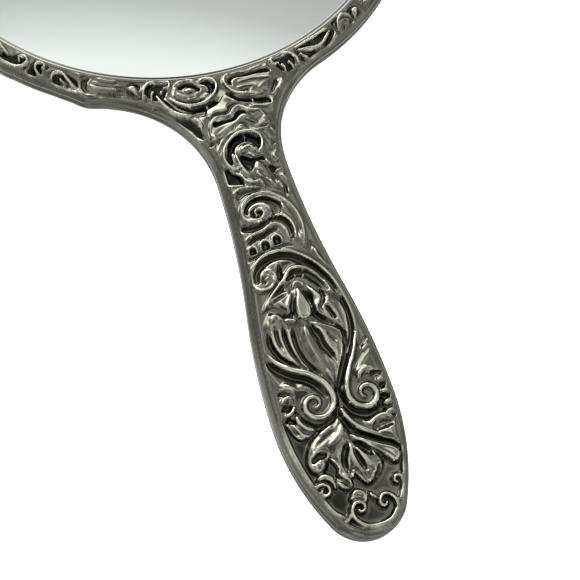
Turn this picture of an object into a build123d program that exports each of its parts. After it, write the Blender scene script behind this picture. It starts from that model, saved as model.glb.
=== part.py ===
"""Ornate plated hand mirror, lying on its back.

The origin is the centre of the flat panel on the back of the head, on the surface that the mirror rests on.
+X is across, +Y runs from the handle towards the head, and +Z is the way that the glass faces.
Two pressed shells meet at a parting plane and are soldered from inside. The front one carries the window.
"""

from build123d import *

import os

os.makedirs("parts", exist_ok=True)

# Heights above the resting surface, in millimetres.
BACK_BOTTOM_Z = 1.0  # underside of the rim and of the handle
PARTING_Z = 5.2  # where the two shells meet
FRONT_TOP_Z = 9.6  # top of the rim and the shoulders of the handle
CROWN_TOP_Z = 12.0  # highest line of the crowned handle

# The head.
HEAD_R = 67.2
VIEW_R = 60.9  # glass that shows inside the bezel
GLASS_R = 61.9
GLASS_T = 3.0
GLASS_TOP_Z = 8.0
GLASS_ARRIS = 0.4
BEZEL_TOP_Z = 9.0
BEZEL_SEAT_Z = 3.2
BEZEL_ROUND = 0.6
WINDOW_R = 62.4
PANEL_R = 47.0  # flat panel on the back, raised from the rest of it
PANEL_SLOPE = 1.0  # run of the slope round the panel

# The handle, whose edge is a chain of tangent arcs.
NECK_Y = -88.0
NECK_HALF_WIDTH = 8.45
GRIP_Y = -146.5
GRIP_HALF_WIDTH = 13.55
FLARE_SHARE = 0.56  # share of the flare's two radii that the hollow one takes
TIP_Y = -174.6
TIP_R = 9.0

# Shells.
WALL = 0.9
FRONT_EDGE_R = 2.6
BACK_EDGE_R = 3.0
CROWN_INSET = 1.9  # plain border round the crowned area
CROWN_HALF_WIDTH = 11.65
CROWN_START_Y = -64.0
SEAM_T = 0.8
SEAM_H = 1.6

# What is inside.
SILVER_T = 0.12
PAINT_T = 0.18
BOARD_T = 1.2
CLEAR = 0.15
CORE_W = 7.0
CORE_T = 2.4
CORE_END_Y = -163.0
CORE_HOLE_R = 1.6
CORE_HOLES_Y = (-82.0, -110.0, -138.0)
DAM_START_Y = -66.5
DAM_T = 2.0
FILL_DROP = 3.2  # how far the filling stays below the front's surface, clear of the folds of its relief


def arc_about(centre, start, end):
    """The shorter arc from start to end round a centre."""
    middle = (start + end) / 2
    outward = (middle - centre).normalized()
    return ThreePointArc(start, centre + outward * (start - centre).length, end)


def handle_arcs():
    """Each arc of the handle's right edge, from the head to the tip, as (centre, start, end)."""
    neck, grip, tip = Vector(NECK_HALF_WIDTH, NECK_Y), Vector(GRIP_HALF_WIDTH, GRIP_Y), Vector(0, TIP_Y)

    # The shoulder touches the head's circle and is upright at the neck.
    reach = NECK_HALF_WIDTH**2 + NECK_Y**2 - HEAD_R**2
    shoulder_r = reach / (2 * (HEAD_R - NECK_HALF_WIDTH))
    shoulder = neck + Vector(shoulder_r, 0)
    leave = shoulder.normalized() * HEAD_R

    # The flare is a hollow arc and a full one, both upright where they end.
    spread, run = GRIP_HALF_WIDTH - NECK_HALF_WIDTH, NECK_Y - GRIP_Y
    radii = (spread**2 + run**2) / (2 * spread)
    hollow_r = FLARE_SHARE * radii
    hollow = neck + Vector(hollow_r, 0)
    full = grip - Vector(radii - hollow_r, 0)
    turn = hollow + (full - hollow).normalized() * hollow_r

    # The side of the end runs into the round tip.
    drop = GRIP_Y - TIP_Y
    side_r = (GRIP_HALF_WIDTH**2 + drop**2 - 2 * drop * TIP_R) / (2 * (GRIP_HALF_WIDTH - TIP_R))
    side = grip - Vector(side_r, 0)
    end = tip + Vector(0, TIP_R)
    join = end + (end - side).normalized() * TIP_R
    return [
        (shoulder, leave, neck),
        (hollow, neck, turn),
        (full, turn, grip),
        (side, grip, join),
        (end, join, tip),
    ]


def outline_sketch(inset=0.0):
    """The mirror's plan, drawn in by inset."""
    arcs = handle_arcs()
    leave = arcs[0][1]
    across = Vector(-leave.X, leave.Y)
    with BuildSketch() as plan:
        with BuildLine() as edge:
            ThreePointArc(across, (0, HEAD_R), leave)
            for centre, start, end in arcs:
                arc_about(centre, start, end)
            mirror([e for e in edge.edges() if e.center().Y < leave.Y], about=Plane.YZ)
        make_face()
        if inset:
            offset(amount=-inset, kind=Kind.ARC)
    return plan.sketch


def crown(drop=0.0, inset=0.0):
    """The raised lens over the handle: its plan, cut by a cylinder along Y and a flatter one along X."""
    top = CROWN_TOP_Z - drop
    shoulder = FRONT_TOP_Z - drop
    rise = top - shoulder
    across = (CROWN_HALF_WIDTH**2 + rise**2) / (2 * rise)
    half_length = (CROWN_START_Y - TIP_Y) / 2
    along = (half_length**2 + rise**2) / (2 * rise)
    middle_y = TIP_Y + half_length
    plan = outline_sketch(CROWN_INSET + inset)
    with BuildPart() as lens:
        with BuildSketch(Plane.XY.offset(shoulder - WALL)):
            add(plan)
            with Locations((0, CROWN_START_Y + HEAD_R * 2)):
                Rectangle(4 * HEAD_R, 4 * HEAD_R, mode=Mode.SUBTRACT)
        extrude(amount=rise + 2 * WALL)
        with Locations(Location((0, middle_y, top - across), (90, 0, 0))):
            Cylinder(across, 4 * half_length, mode=Mode.INTERSECT)
        with Locations(Location((0, middle_y, top - along), (0, 90, 0))):
            Cylinder(along, 4 * HEAD_R, mode=Mode.INTERSECT)
    return lens.part


# Plans and crowns that several pieces share.
outer_plan = outline_sketch()
inner_plan = outline_sketch(WALL)
seam_plan = outline_sketch(WALL + SEAM_T)
fill_plan = outline_sketch(WALL + CLEAR)
outer_crown = crown()
inner_crown = crown(drop=WALL, inset=WALL)
fill_crown = crown(drop=FILL_DROP, inset=WALL + CLEAR)

# Heights of the layers under the glass.
glass_bottom = GLASS_TOP_Z - GLASS_T
silver_bottom = glass_bottom - SILVER_T
paint_bottom = silver_bottom - PAINT_T
board_bottom = paint_bottom - BOARD_T
floor_top = BACK_BOTTOM_Z + WALL


# Front shell: rim, shoulders and handle front in one pressed sheet, with the window's wall turned down.
with BuildPart() as front_hollow:
    with BuildSketch(Plane.XY.offset(PARTING_Z)):
        add(inner_plan)
    extrude(amount=FRONT_TOP_Z - WALL - PARTING_Z)
    fillet(front_hollow.faces().sort_by(Axis.Z)[-1].edges(), FRONT_EDGE_R - WALL)
    add(inner_crown)
    with BuildSketch(Plane.XY.offset(PARTING_Z)):
        Circle(WINDOW_R + WALL)
    extrude(amount=FRONT_TOP_Z, mode=Mode.SUBTRACT)

with BuildPart() as front_shell:
    with BuildSketch(Plane.XY.offset(PARTING_Z)):
        add(outer_plan)
    extrude(amount=FRONT_TOP_Z - PARTING_Z)
    fillet(front_shell.faces().sort_by(Axis.Z)[-1].edges(), FRONT_EDGE_R)
    add(outer_crown)
    add(front_hollow.part, mode=Mode.SUBTRACT)
    with BuildSketch(Plane.XY.offset(PARTING_Z)):
        Circle(WINDOW_R)
    extrude(amount=FRONT_TOP_Z, mode=Mode.SUBTRACT)
front_shell.part.label = "front_shell"
export_step(front_shell.part, "parts/front_shell.step")


# Back shell: a pressed dish with rounded edges and a raised flat panel that the mirror rests on.
with BuildPart() as back_hollow:
    with BuildSketch(Plane.XY.offset(floor_top)):
        add(inner_plan)
    extrude(amount=PARTING_Z - floor_top)
    fillet(back_hollow.faces().sort_by(Axis.Z)[0].edges(), BACK_EDGE_R - WALL)
    with BuildSketch(Plane.XY.offset(floor_top)):
        Circle(PANEL_R + PANEL_SLOPE)
    with BuildSketch(Plane.XY.offset(WALL)):
        Circle(PANEL_R)
    loft()

with BuildPart() as back_shell:
    with BuildSketch(Plane.XY.offset(BACK_BOTTOM_Z)):
        add(outer_plan)
    extrude(amount=PARTING_Z - BACK_BOTTOM_Z)
    fillet(back_shell.faces().sort_by(Axis.Z)[0].edges(), BACK_EDGE_R)
    with BuildSketch(Plane.XY.offset(BACK_BOTTOM_Z)):
        Circle(PANEL_R + PANEL_SLOPE)
    with BuildSketch(Plane.XY):
        Circle(PANEL_R)
    loft()
    add(back_hollow.part, mode=Mode.SUBTRACT)
back_shell.part.label = "back_shell"
export_step(back_shell.part, "parts/back_shell.step")


# Bezel: the bright ring round the glass, with a lip over its face and a skirt down its edge.
with BuildPart() as bezel_ring:
    with BuildSketch(Plane.XY.offset(BEZEL_SEAT_Z)):
        Circle(WINDOW_R)
        Circle(VIEW_R, mode=Mode.SUBTRACT)
    extrude(amount=BEZEL_TOP_Z - BEZEL_SEAT_Z)
    fillet(bezel_ring.faces().sort_by(Axis.Z)[-1].edges(), BEZEL_ROUND)
    with BuildSketch(Plane.XY.offset(BEZEL_SEAT_Z)):
        Circle(GLASS_R + CLEAR / 2)
    extrude(amount=GLASS_TOP_Z - BEZEL_SEAT_Z, mode=Mode.SUBTRACT)
bezel_ring.part.label = "bezel_ring"
export_step(bezel_ring.part, "parts/bezel_ring.step")


# Glass: a disc of float glass with a ground arris round both edges.
with BuildPart() as mirror_glass:
    with BuildSketch(Plane.XY.offset(glass_bottom)):
        Circle(GLASS_R)
    extrude(amount=GLASS_T)
    chamfer(mirror_glass.edges().filter_by(GeomType.CIRCLE), GLASS_ARRIS)
mirror_glass.part.label = "mirror_glass"
export_step(mirror_glass.part, "parts/mirror_glass.step")


# The silver on the back of the glass.
with BuildPart() as silvering:
    with BuildSketch(Plane.XY.offset(silver_bottom)):
        Circle(GLASS_R - GLASS_ARRIS)
    extrude(amount=SILVER_T)
silvering.part.label = "silvering"
export_step(silvering.part, "parts/silvering.step")


# The paint that seals the silver.
with BuildPart() as backing_paint:
    with BuildSketch(Plane.XY.offset(paint_bottom)):
        Circle(GLASS_R - GLASS_ARRIS)
    extrude(amount=PAINT_T)
backing_paint.part.label = "backing_paint"
export_step(backing_paint.part, "parts/backing_paint.step")


# The card behind the glass.
with BuildPart() as backing_board:
    with BuildSketch(Plane.XY.offset(board_bottom)):
        Circle(GLASS_R - CLEAR)
    extrude(amount=BOARD_T)
backing_board.part.label = "backing_board"
export_step(backing_board.part, "parts/backing_board.step")


# The felt pad that presses the glass up against the bezel, stepped to carry the bezel's skirt as well.
with BuildPart() as packing_pad:
    with BuildSketch(Plane.XY.offset(floor_top)):
        Circle(WINDOW_R - CLEAR)
    extrude(amount=BEZEL_SEAT_Z - floor_top)
    with BuildSketch(Plane.XY.offset(BEZEL_SEAT_Z)):
        Circle(GLASS_R - CLEAR)
    extrude(amount=board_bottom - BEZEL_SEAT_Z)
packing_pad.part.label = "packing_pad"
export_step(packing_pad.part, "parts/packing_pad.step")


# The solder that joins the shells, inside and all the way round.
with BuildPart() as solder_seam:
    with BuildSketch(Plane.XY.offset(PARTING_Z - SEAM_H / 2)):
        add(inner_plan)
        add(seam_plan, mode=Mode.SUBTRACT)
    extrude(amount=SEAM_H)
solder_seam.part.label = "solder_seam"
export_step(solder_seam.part, "parts/solder_seam.step")


# The flat steel bar that stiffens the handle and neck, drilled so that the filling keys into it.
with BuildPart() as handle_core:
    with BuildSketch(Plane.XY.offset(PARTING_Z - CORE_T / 2)):
        with Locations((0, (DAM_START_Y + CORE_END_Y) / 2)):
            SlotOverall(DAM_START_Y - CORE_END_Y, CORE_W, rotation=90)
        with Locations([(0, y) for y in CORE_HOLES_Y]):
            Circle(CORE_HOLE_R, mode=Mode.SUBTRACT)
    extrude(amount=CORE_T)
handle_core.part.label = "handle_core"
export_step(handle_core.part, "parts/handle_core.step")


# The space inside the handle, which the dam and the filling share.
with BuildPart() as handle_space:
    with BuildSketch(Plane.XY.offset(floor_top)):
        add(fill_plan)
    extrude(amount=FRONT_TOP_Z - FILL_DROP - floor_top)
    fillet(handle_space.faces().sort_by(Axis.Z)[0].edges(), BACK_EDGE_R - WALL)
    fillet(handle_space.faces().sort_by(Axis.Z)[-1].edges(), FRONT_EDGE_R - WALL)
    add(fill_crown)
    add(handle_core.part, mode=Mode.SUBTRACT)
    add(solder_seam.part, mode=Mode.SUBTRACT)


# The card that stops the filling at the neck until it sets.
with BuildPart() as filling_dam:
    add(handle_space.part)
    with Locations((0, DAM_START_Y - DAM_T / 2, PARTING_Z)):
        Box(4 * HEAD_R, DAM_T, 4 * CROWN_TOP_Z, mode=Mode.INTERSECT)
filling_dam.part.label = "filling_dam"
export_step(filling_dam.part, "parts/filling_dam.step")


# The pitch and plaster that fills the handle round the bar.
fill_length = DAM_START_Y - DAM_T - TIP_Y
with BuildPart() as handle_filling:
    add(handle_space.part)
    with Locations((0, TIP_Y + fill_length / 2, PARTING_Z)):
        Box(4 * HEAD_R, fill_length, 4 * CROWN_TOP_Z, mode=Mode.INTERSECT)
handle_filling.part.label = "handle_filling"
export_step(handle_filling.part, "parts/handle_filling.step")
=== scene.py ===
"""Ornate plated hand mirror: relief shells, materials, light and camera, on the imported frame."""
import math

import bpy
import numpy as np
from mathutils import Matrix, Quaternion, Vector
from mathutils.geometry import delaunay_2d_cdt

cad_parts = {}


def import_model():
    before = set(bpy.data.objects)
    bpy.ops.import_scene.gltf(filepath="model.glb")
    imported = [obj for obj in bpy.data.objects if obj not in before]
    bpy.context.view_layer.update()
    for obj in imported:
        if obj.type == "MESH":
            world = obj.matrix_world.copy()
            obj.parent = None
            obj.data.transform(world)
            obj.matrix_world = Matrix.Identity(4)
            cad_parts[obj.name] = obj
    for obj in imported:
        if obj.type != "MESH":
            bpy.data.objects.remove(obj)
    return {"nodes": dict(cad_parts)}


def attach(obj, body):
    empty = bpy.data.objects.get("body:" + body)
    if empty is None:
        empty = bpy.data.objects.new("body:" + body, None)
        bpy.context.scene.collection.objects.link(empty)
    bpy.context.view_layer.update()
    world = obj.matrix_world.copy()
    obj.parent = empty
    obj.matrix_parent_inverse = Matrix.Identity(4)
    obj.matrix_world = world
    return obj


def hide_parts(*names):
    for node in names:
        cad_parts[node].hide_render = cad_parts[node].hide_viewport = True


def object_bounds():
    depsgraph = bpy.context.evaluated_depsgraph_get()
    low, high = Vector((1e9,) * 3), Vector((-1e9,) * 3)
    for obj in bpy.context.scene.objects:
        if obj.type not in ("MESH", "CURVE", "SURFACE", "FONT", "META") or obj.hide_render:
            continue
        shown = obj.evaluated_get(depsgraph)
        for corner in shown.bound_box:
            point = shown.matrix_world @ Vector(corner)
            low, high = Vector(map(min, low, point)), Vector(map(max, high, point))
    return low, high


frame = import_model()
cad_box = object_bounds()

MM = 0.001

# Sizes are in millimetres, unless a comment says otherwise. The glass's centre is the origin, and
# the handle runs down -y.

# The outline, as in the CAD: a round head and a handle of tangent arcs. The frame's box gives its size.
HEAD_R = round(cad_box[1][0] / MM, 1)
TIP_Y = round(cad_box[0][1] / MM, 1)
NECK = np.array([8.45, -88.0])
GRIP = np.array([13.55, -146.5])
FLARE_SHARE = 0.56
TIP_R = 9.0
WINDOW_R = 62.4

# Heights of the two shells.
PARTING_Z = 5.2
SHEET = 0.9
RIM_FOOT_Z = 5.8
HANDLE_FOOT_Z = 6.4
RISE = 3.1
RIM_ROLL = 4.8
HANDLE_ROLL = 2.4
TOP_Z = 11.4
HEADROOM = 0.55
FRONT_GAP = 1.7
BACK_Z = 1.0
BACK_ROLL = 3.0
BACK_RELIEF = 0.75
PANEL_R = 47.0

# The crown of the handle, with how far it reaches to each side by the distance down the handle.
CROWN_RISE = 1.3
CROWN_MIDDLE = -122
CROWN_REACH = 56
CROWN_HALF_WIDTHS = {
    60: 30, 68: 17, 76: 11.1, 88: 8.4, 104: 9.1, 120: 11.2, 146.5: 13.5, 160: 12, 170: 8.5, 174.6: 4,
}

# Relief, from the plain surface: the ground, the bottom of a sunk place, and the foot of a form.
GROUND = -0.2
DEEP = -1.35
BASE = 0.45
BLEND = 0.12
RIPPLE = 0.11

# Plain edge outside the ornament.
RIM_BORDER = 1.0
HANDLE_BORDER = 1.75
SHOULDER_BORDER = 0.3

# The small bulge on the left of the head: where, how wide in degrees, and how far out.
BULGE_ANGLE = -28.5
BULGE_WIDTH = 2.6
BULGE_RISE = 0.8

# Where each group of strokes has its middle, down the handle.
SHOULDER_MIDDLE = -67
NECK_MIDDLE = -84
SCROLL_MIDDLE = -108
FLOWER_MIDDLE = -134
TIP_MIDDLE = -160

# Mesh spacing.
LATTICE = 0.24
BACK_LATTICE = 0.37
EDGE_STEP = 0.36
CURVE_STEP = 0.22
BEZEL_STEP = 2 * math.pi * WINDOW_R / 720

# How bright the metal is left, as a share of clean plate: on the plain surface, and what is added
# for a rise, for a high rise, for a crest and for a hollow. This is tarnish and wear together with
# painted light: painted shade in the hollows and painted highlights on rises and crests. The last two
# are painted shade that darkens sunk floors.
WEAR_AND_SHADE_CELL = 0.3
WEAR_AND_SHADE_PLAIN = 0.215
WEAR_AND_SHADE_LEAST = 0.15
WEAR_AND_LIGHT_RISE = 0.085
WEAR_AND_HIGHLIGHT_HIGH = 0.13
WEAR_AND_HIGHLIGHT_CREST = 0.45
TARNISH_AND_SHADE_HOLLOW = -0.04
FLOOR_PAINTED_SHADE = 0.55
NECK_PAINTED_SHADE = 0.22


# --- Outline --------------------------------------------------------------------------------------


def unit(v):
    """A vector made one long."""
    return v / np.linalg.norm(v)


def outline_arcs():
    """The outline's right side from the top to the tip, as (centre, radius, start, end, bulge)."""
    tip = np.array([0.0, TIP_Y])
    reach = NECK @ NECK - HEAD_R**2
    shoulder_r = reach / (2 * (HEAD_R - NECK[0]))
    shoulder = NECK + [shoulder_r, 0]
    leave = unit(shoulder) * HEAD_R

    spread, run = GRIP[0] - NECK[0], NECK[1] - GRIP[1]
    radii = (spread**2 + run**2) / (2 * spread)
    hollow_r = FLARE_SHARE * radii
    hollow = NECK + [hollow_r, 0]
    full = GRIP - [radii - hollow_r, 0]
    turn = hollow + unit(full - hollow) * hollow_r

    drop = GRIP[1] - TIP_Y
    side_r = (GRIP[0] ** 2 + drop**2 - 2 * drop * TIP_R) / (2 * (GRIP[0] - TIP_R))
    side = GRIP - [side_r, 0]
    end = tip + [0, TIP_R]
    join = end + unit(end - side) * TIP_R
    return [
        (np.zeros(2), HEAD_R, np.array([0.0, HEAD_R]), leave, 1),
        (shoulder, shoulder_r, leave, NECK, -1),
        (hollow, hollow_r, NECK, turn, -1),
        (full, radii - hollow_r, turn, GRIP, 1),
        (side, side_r, GRIP, join, 1),
        (end, TIP_R, join, tip, 1),
    ]


ARCS = outline_arcs()


def outline(inset, step):
    """Points anticlockwise along the whole outline, drawn in by inset, the same number for every inset."""
    right = []
    for centre, radius, start, end, bulge in ARCS:
        a0 = math.atan2(*(start - centre)[::-1])
        a1 = math.atan2(*(end - centre)[::-1])
        sweep = (a1 - a0 + math.pi) % (2 * math.pi) - math.pi
        count = max(2, round(abs(sweep) * radius / step))
        r = radius - bulge * inset
        angles = a0 + sweep * np.arange(count) / count
        right.append(centre + r * np.stack([np.cos(angles), np.sin(angles)], 1))
    right = np.vstack(right)
    left = right[1:][::-1] * [-1, 1]
    return np.vstack([right, [[0, TIP_Y + inset]], left])[::-1]


def inset_of(p):
    """How far inside the outline each point is."""
    q = np.stack([np.abs(p[:, 0]), p[:, 1]], 1)
    best = np.full(len(q), 1e9)
    for centre, radius, start, end, bulge in ARCS:
        arm = q - centre
        dist = np.hypot(arm[:, 0], arm[:, 1])
        middle = unit(unit(start - centre) + unit(end - centre))
        limit = unit(start - centre) @ middle
        near = arm @ middle >= (limit - 1e-6) * dist
        gap = bulge * (radius - dist)
        best = np.where(near & (np.abs(gap) < np.abs(best)), gap, best)
    return best


def circle(radius, step):
    """Points anticlockwise round a circle, as many as a step along the window's edge gives."""
    count = round(2 * math.pi * WINDOW_R / step)
    a = 2 * math.pi * np.arange(count) / count
    return radius * np.stack([np.cos(a), np.sin(a)], 1)


def smoothstep(a, b, x):
    """0 at a and 1 at b, easing in and out between them."""
    t = np.clip((x - a) / (b - a), 0, 1)
    return t * t * (3 - 2 * t)


# --- Relief ---------------------------------------------------------------------------------------


def curve(points, closed=False):
    """A Catmull-Rom curve through points."""
    p = np.array(points, float)
    if closed:
        p = np.vstack([p[-1], p, p[0], p[1]])
    else:
        p = np.vstack([2 * p[0] - p[1], p, 2 * p[-1] - p[-2]])
    out = []
    for a, b, c, d in zip(p[:-3], p[1:-2], p[2:-1], p[3:]):
        count = max(2, int(np.linalg.norm(c - b) / CURVE_STEP))
        t = np.arange(count)[:, None] / count
        bend, twist = 2 * a - 5 * b + 4 * c - d, 3 * b - a - 3 * c + d
        out.append(0.5 * (2 * b + (c - a) * t + bend * t**2 + twist * t**3))
    if not closed:
        out.append(p[-2][None])
    return np.vstack(out)


def curl(points, centre, turns, end_r=0.4):
    """Carries a path on into a spiral round a centre."""
    last, before = np.array(points[-1], float), np.array(points[-2], float)
    centre = np.array(centre, float)
    arm, way = last - centre, last - before
    sign = 1 if arm[0] * way[1] - arm[1] * way[0] > 0 else -1
    start_r, start = np.hypot(*arm), math.atan2(arm[1], arm[0])
    count = max(3, int(turns * 12))
    extra = []
    for k in range(1, count + 1):
        r = start_r * (end_r / start_r) ** (k / count)
        a = start + sign * 2 * math.pi * turns * k / count
        extra.append((centre[0] + r * math.cos(a), centre[1] + r * math.sin(a)))
    return list(points) + extra


def about(y):
    """Places strokes that are drawn round a point on the middle line."""
    return lambda q: q + [0, y]


class Relief:
    """Heights over a set of points in the plane, built up stroke by stroke, in millimetres."""

    def __init__(self, points):
        self.p = points
        self.h = np.full(len(points), GROUND)
        self.place = about(0)

    def near(self, line, reach):
        """Indices of the points in a line's box, widened by reach."""
        lo, hi = line.min(0) - reach, line.max(0) + reach
        return np.nonzero(((self.p >= lo) & (self.p <= hi)).all(1))[0]

    def along(self, line, reach):
        """For the points near a line: their indices, distance and share of the way along it."""
        ids = self.near(line, reach)
        if not len(ids):
            return ids, np.zeros(0), np.zeros(0)
        a, b = line[:-1], line[1:]
        ab = b - a
        length = np.maximum(np.hypot(ab[:, 0], ab[:, 1]), 1e-9)
        travel = np.concatenate([[0], np.cumsum(length)])
        q = self.p[ids][:, None, :] - a[None]
        t = np.clip((q * ab).sum(2) / length**2, 0, 1)
        gap = q - t[..., None] * ab
        d2 = (gap**2).sum(2)
        k = d2.argmin(1)
        rows = np.arange(len(ids))
        share = (travel[k] + t[rows, k] * length[k]) / travel[-1]
        d = np.sqrt(d2[rows, k])
        keep = d < reach
        return ids[keep], d[keep], share[keep]

    def stroke(self, points, width, ends=(0.35, 0.35), sharp=1.3):
        """Indices of the points under a stroke whose ends taper, and its section there, from 0 to 1."""
        line = self.place(curve(points))
        ids, d, s = self.along(line, width)
        if not len(ids):
            return ids, d
        taper = np.minimum(1, ends[0] + (1 - ends[0]) * s / 0.18)
        taper = np.minimum(taper, ends[1] + (1 - ends[1]) * (1 - s) / 0.18)
        u = np.clip(d / (width * taper), 0, 1)
        return ids, (1 - u * u) ** sharp * np.sqrt(taper)

    def raise_to(self, ids, share, top):
        """Smooth maximum with a form that rises from the deepest ground, so that forms run together."""
        value = DEEP + (top - BASE - DEEP) * share
        old = self.h[ids]
        k = np.clip(1 - np.abs(old - value) / BLEND, 0, 1)
        self.h[ids] = np.where(share > 0.002, np.maximum(old, value) + k * k * BLEND / 4, old)

    def ridge(self, points, width=0.5, height=1.1, **kw):
        """A rounded ridge up to a height."""
        self.raise_to(*self.stroke(points, 1.45 * width, **kw), height)

    def vein(self, points, width=0.35, height=0.3, **kw):
        """A fold that is added to whatever is there."""
        ids, share = self.stroke(points, width, **kw)
        self.h[ids] += height * share

    def cut(self, points, width=0.5, depth=0.5, **kw):
        """A groove that is taken from whatever is there."""
        ids, share = self.stroke(points, 1.15 * width, **kw)
        self.h[ids] -= 1.3 * depth * share

    def well(self, points, level=DEEP, soft=0.5):
        """Sinks the ground inside a closed curve to a level."""
        ids, d = self.inside(points)
        k = smoothstep(0, soft, d)
        self.h[ids] = np.minimum(self.h[ids], self.h[ids] * (1 - k) + level * k)

    def inside(self, points):
        """For the points in a closed curve: their indices and distance from its edge."""
        loop = self.place(curve(points, closed=True))
        loop = np.vstack([loop, loop[:1]])
        ids = self.near(loop, 0)
        q = self.p[ids]
        odd = np.zeros(len(q), bool)
        x, y = q.T
        for (ax, ay), (bx, by) in zip(loop[:-1], loop[1:]):
            if ay != by:
                odd ^= ((ay > y) != (by > y)) & (x < ax + (y - ay) * (bx - ax) / (by - ay))
        ids, q = ids[odd], q[odd]
        d2 = np.full(len(q), 1e9)
        for p0, p1 in zip(loop[:-1:2], loop[2::2]):
            ab = p1 - p0
            t = np.clip((q - p0) @ ab / (ab @ ab + 1e-12), 0, 1)
            gap = q - p0 - t[:, None] * ab
            d2 = np.minimum(d2, (gap**2).sum(1))
        return ids, np.sqrt(d2)

    def leaf(self, points, height=0.9, soft=1.0):
        """A rounded form that fills a closed curve."""
        ids, d = self.inside(points)
        u = np.clip(d / (1.25 * soft), 0, 1)
        self.raise_to(ids, np.sqrt(1 - (1 - u) ** 2), height)

    def pit(self, points, depth=0.8, soft=0.5):
        """Sinks whatever is inside a closed curve by a depth."""
        ids, d = self.inside(points)
        self.h[ids] -= depth * smoothstep(0, soft, d)

    def tilt(self, points, low, high, rise, soft=0.5):
        """Tips whatever is inside a closed curve: nothing is added at low, and all of rise at high."""
        ids, d = self.inside(points)
        low, high = self.place(np.array([low, high], float))
        way = high - low
        share = np.clip((self.p[ids] - low) @ way / (way @ way), 0, 1)
        self.h[ids] += rise * share * smoothstep(0, soft, d)


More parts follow.
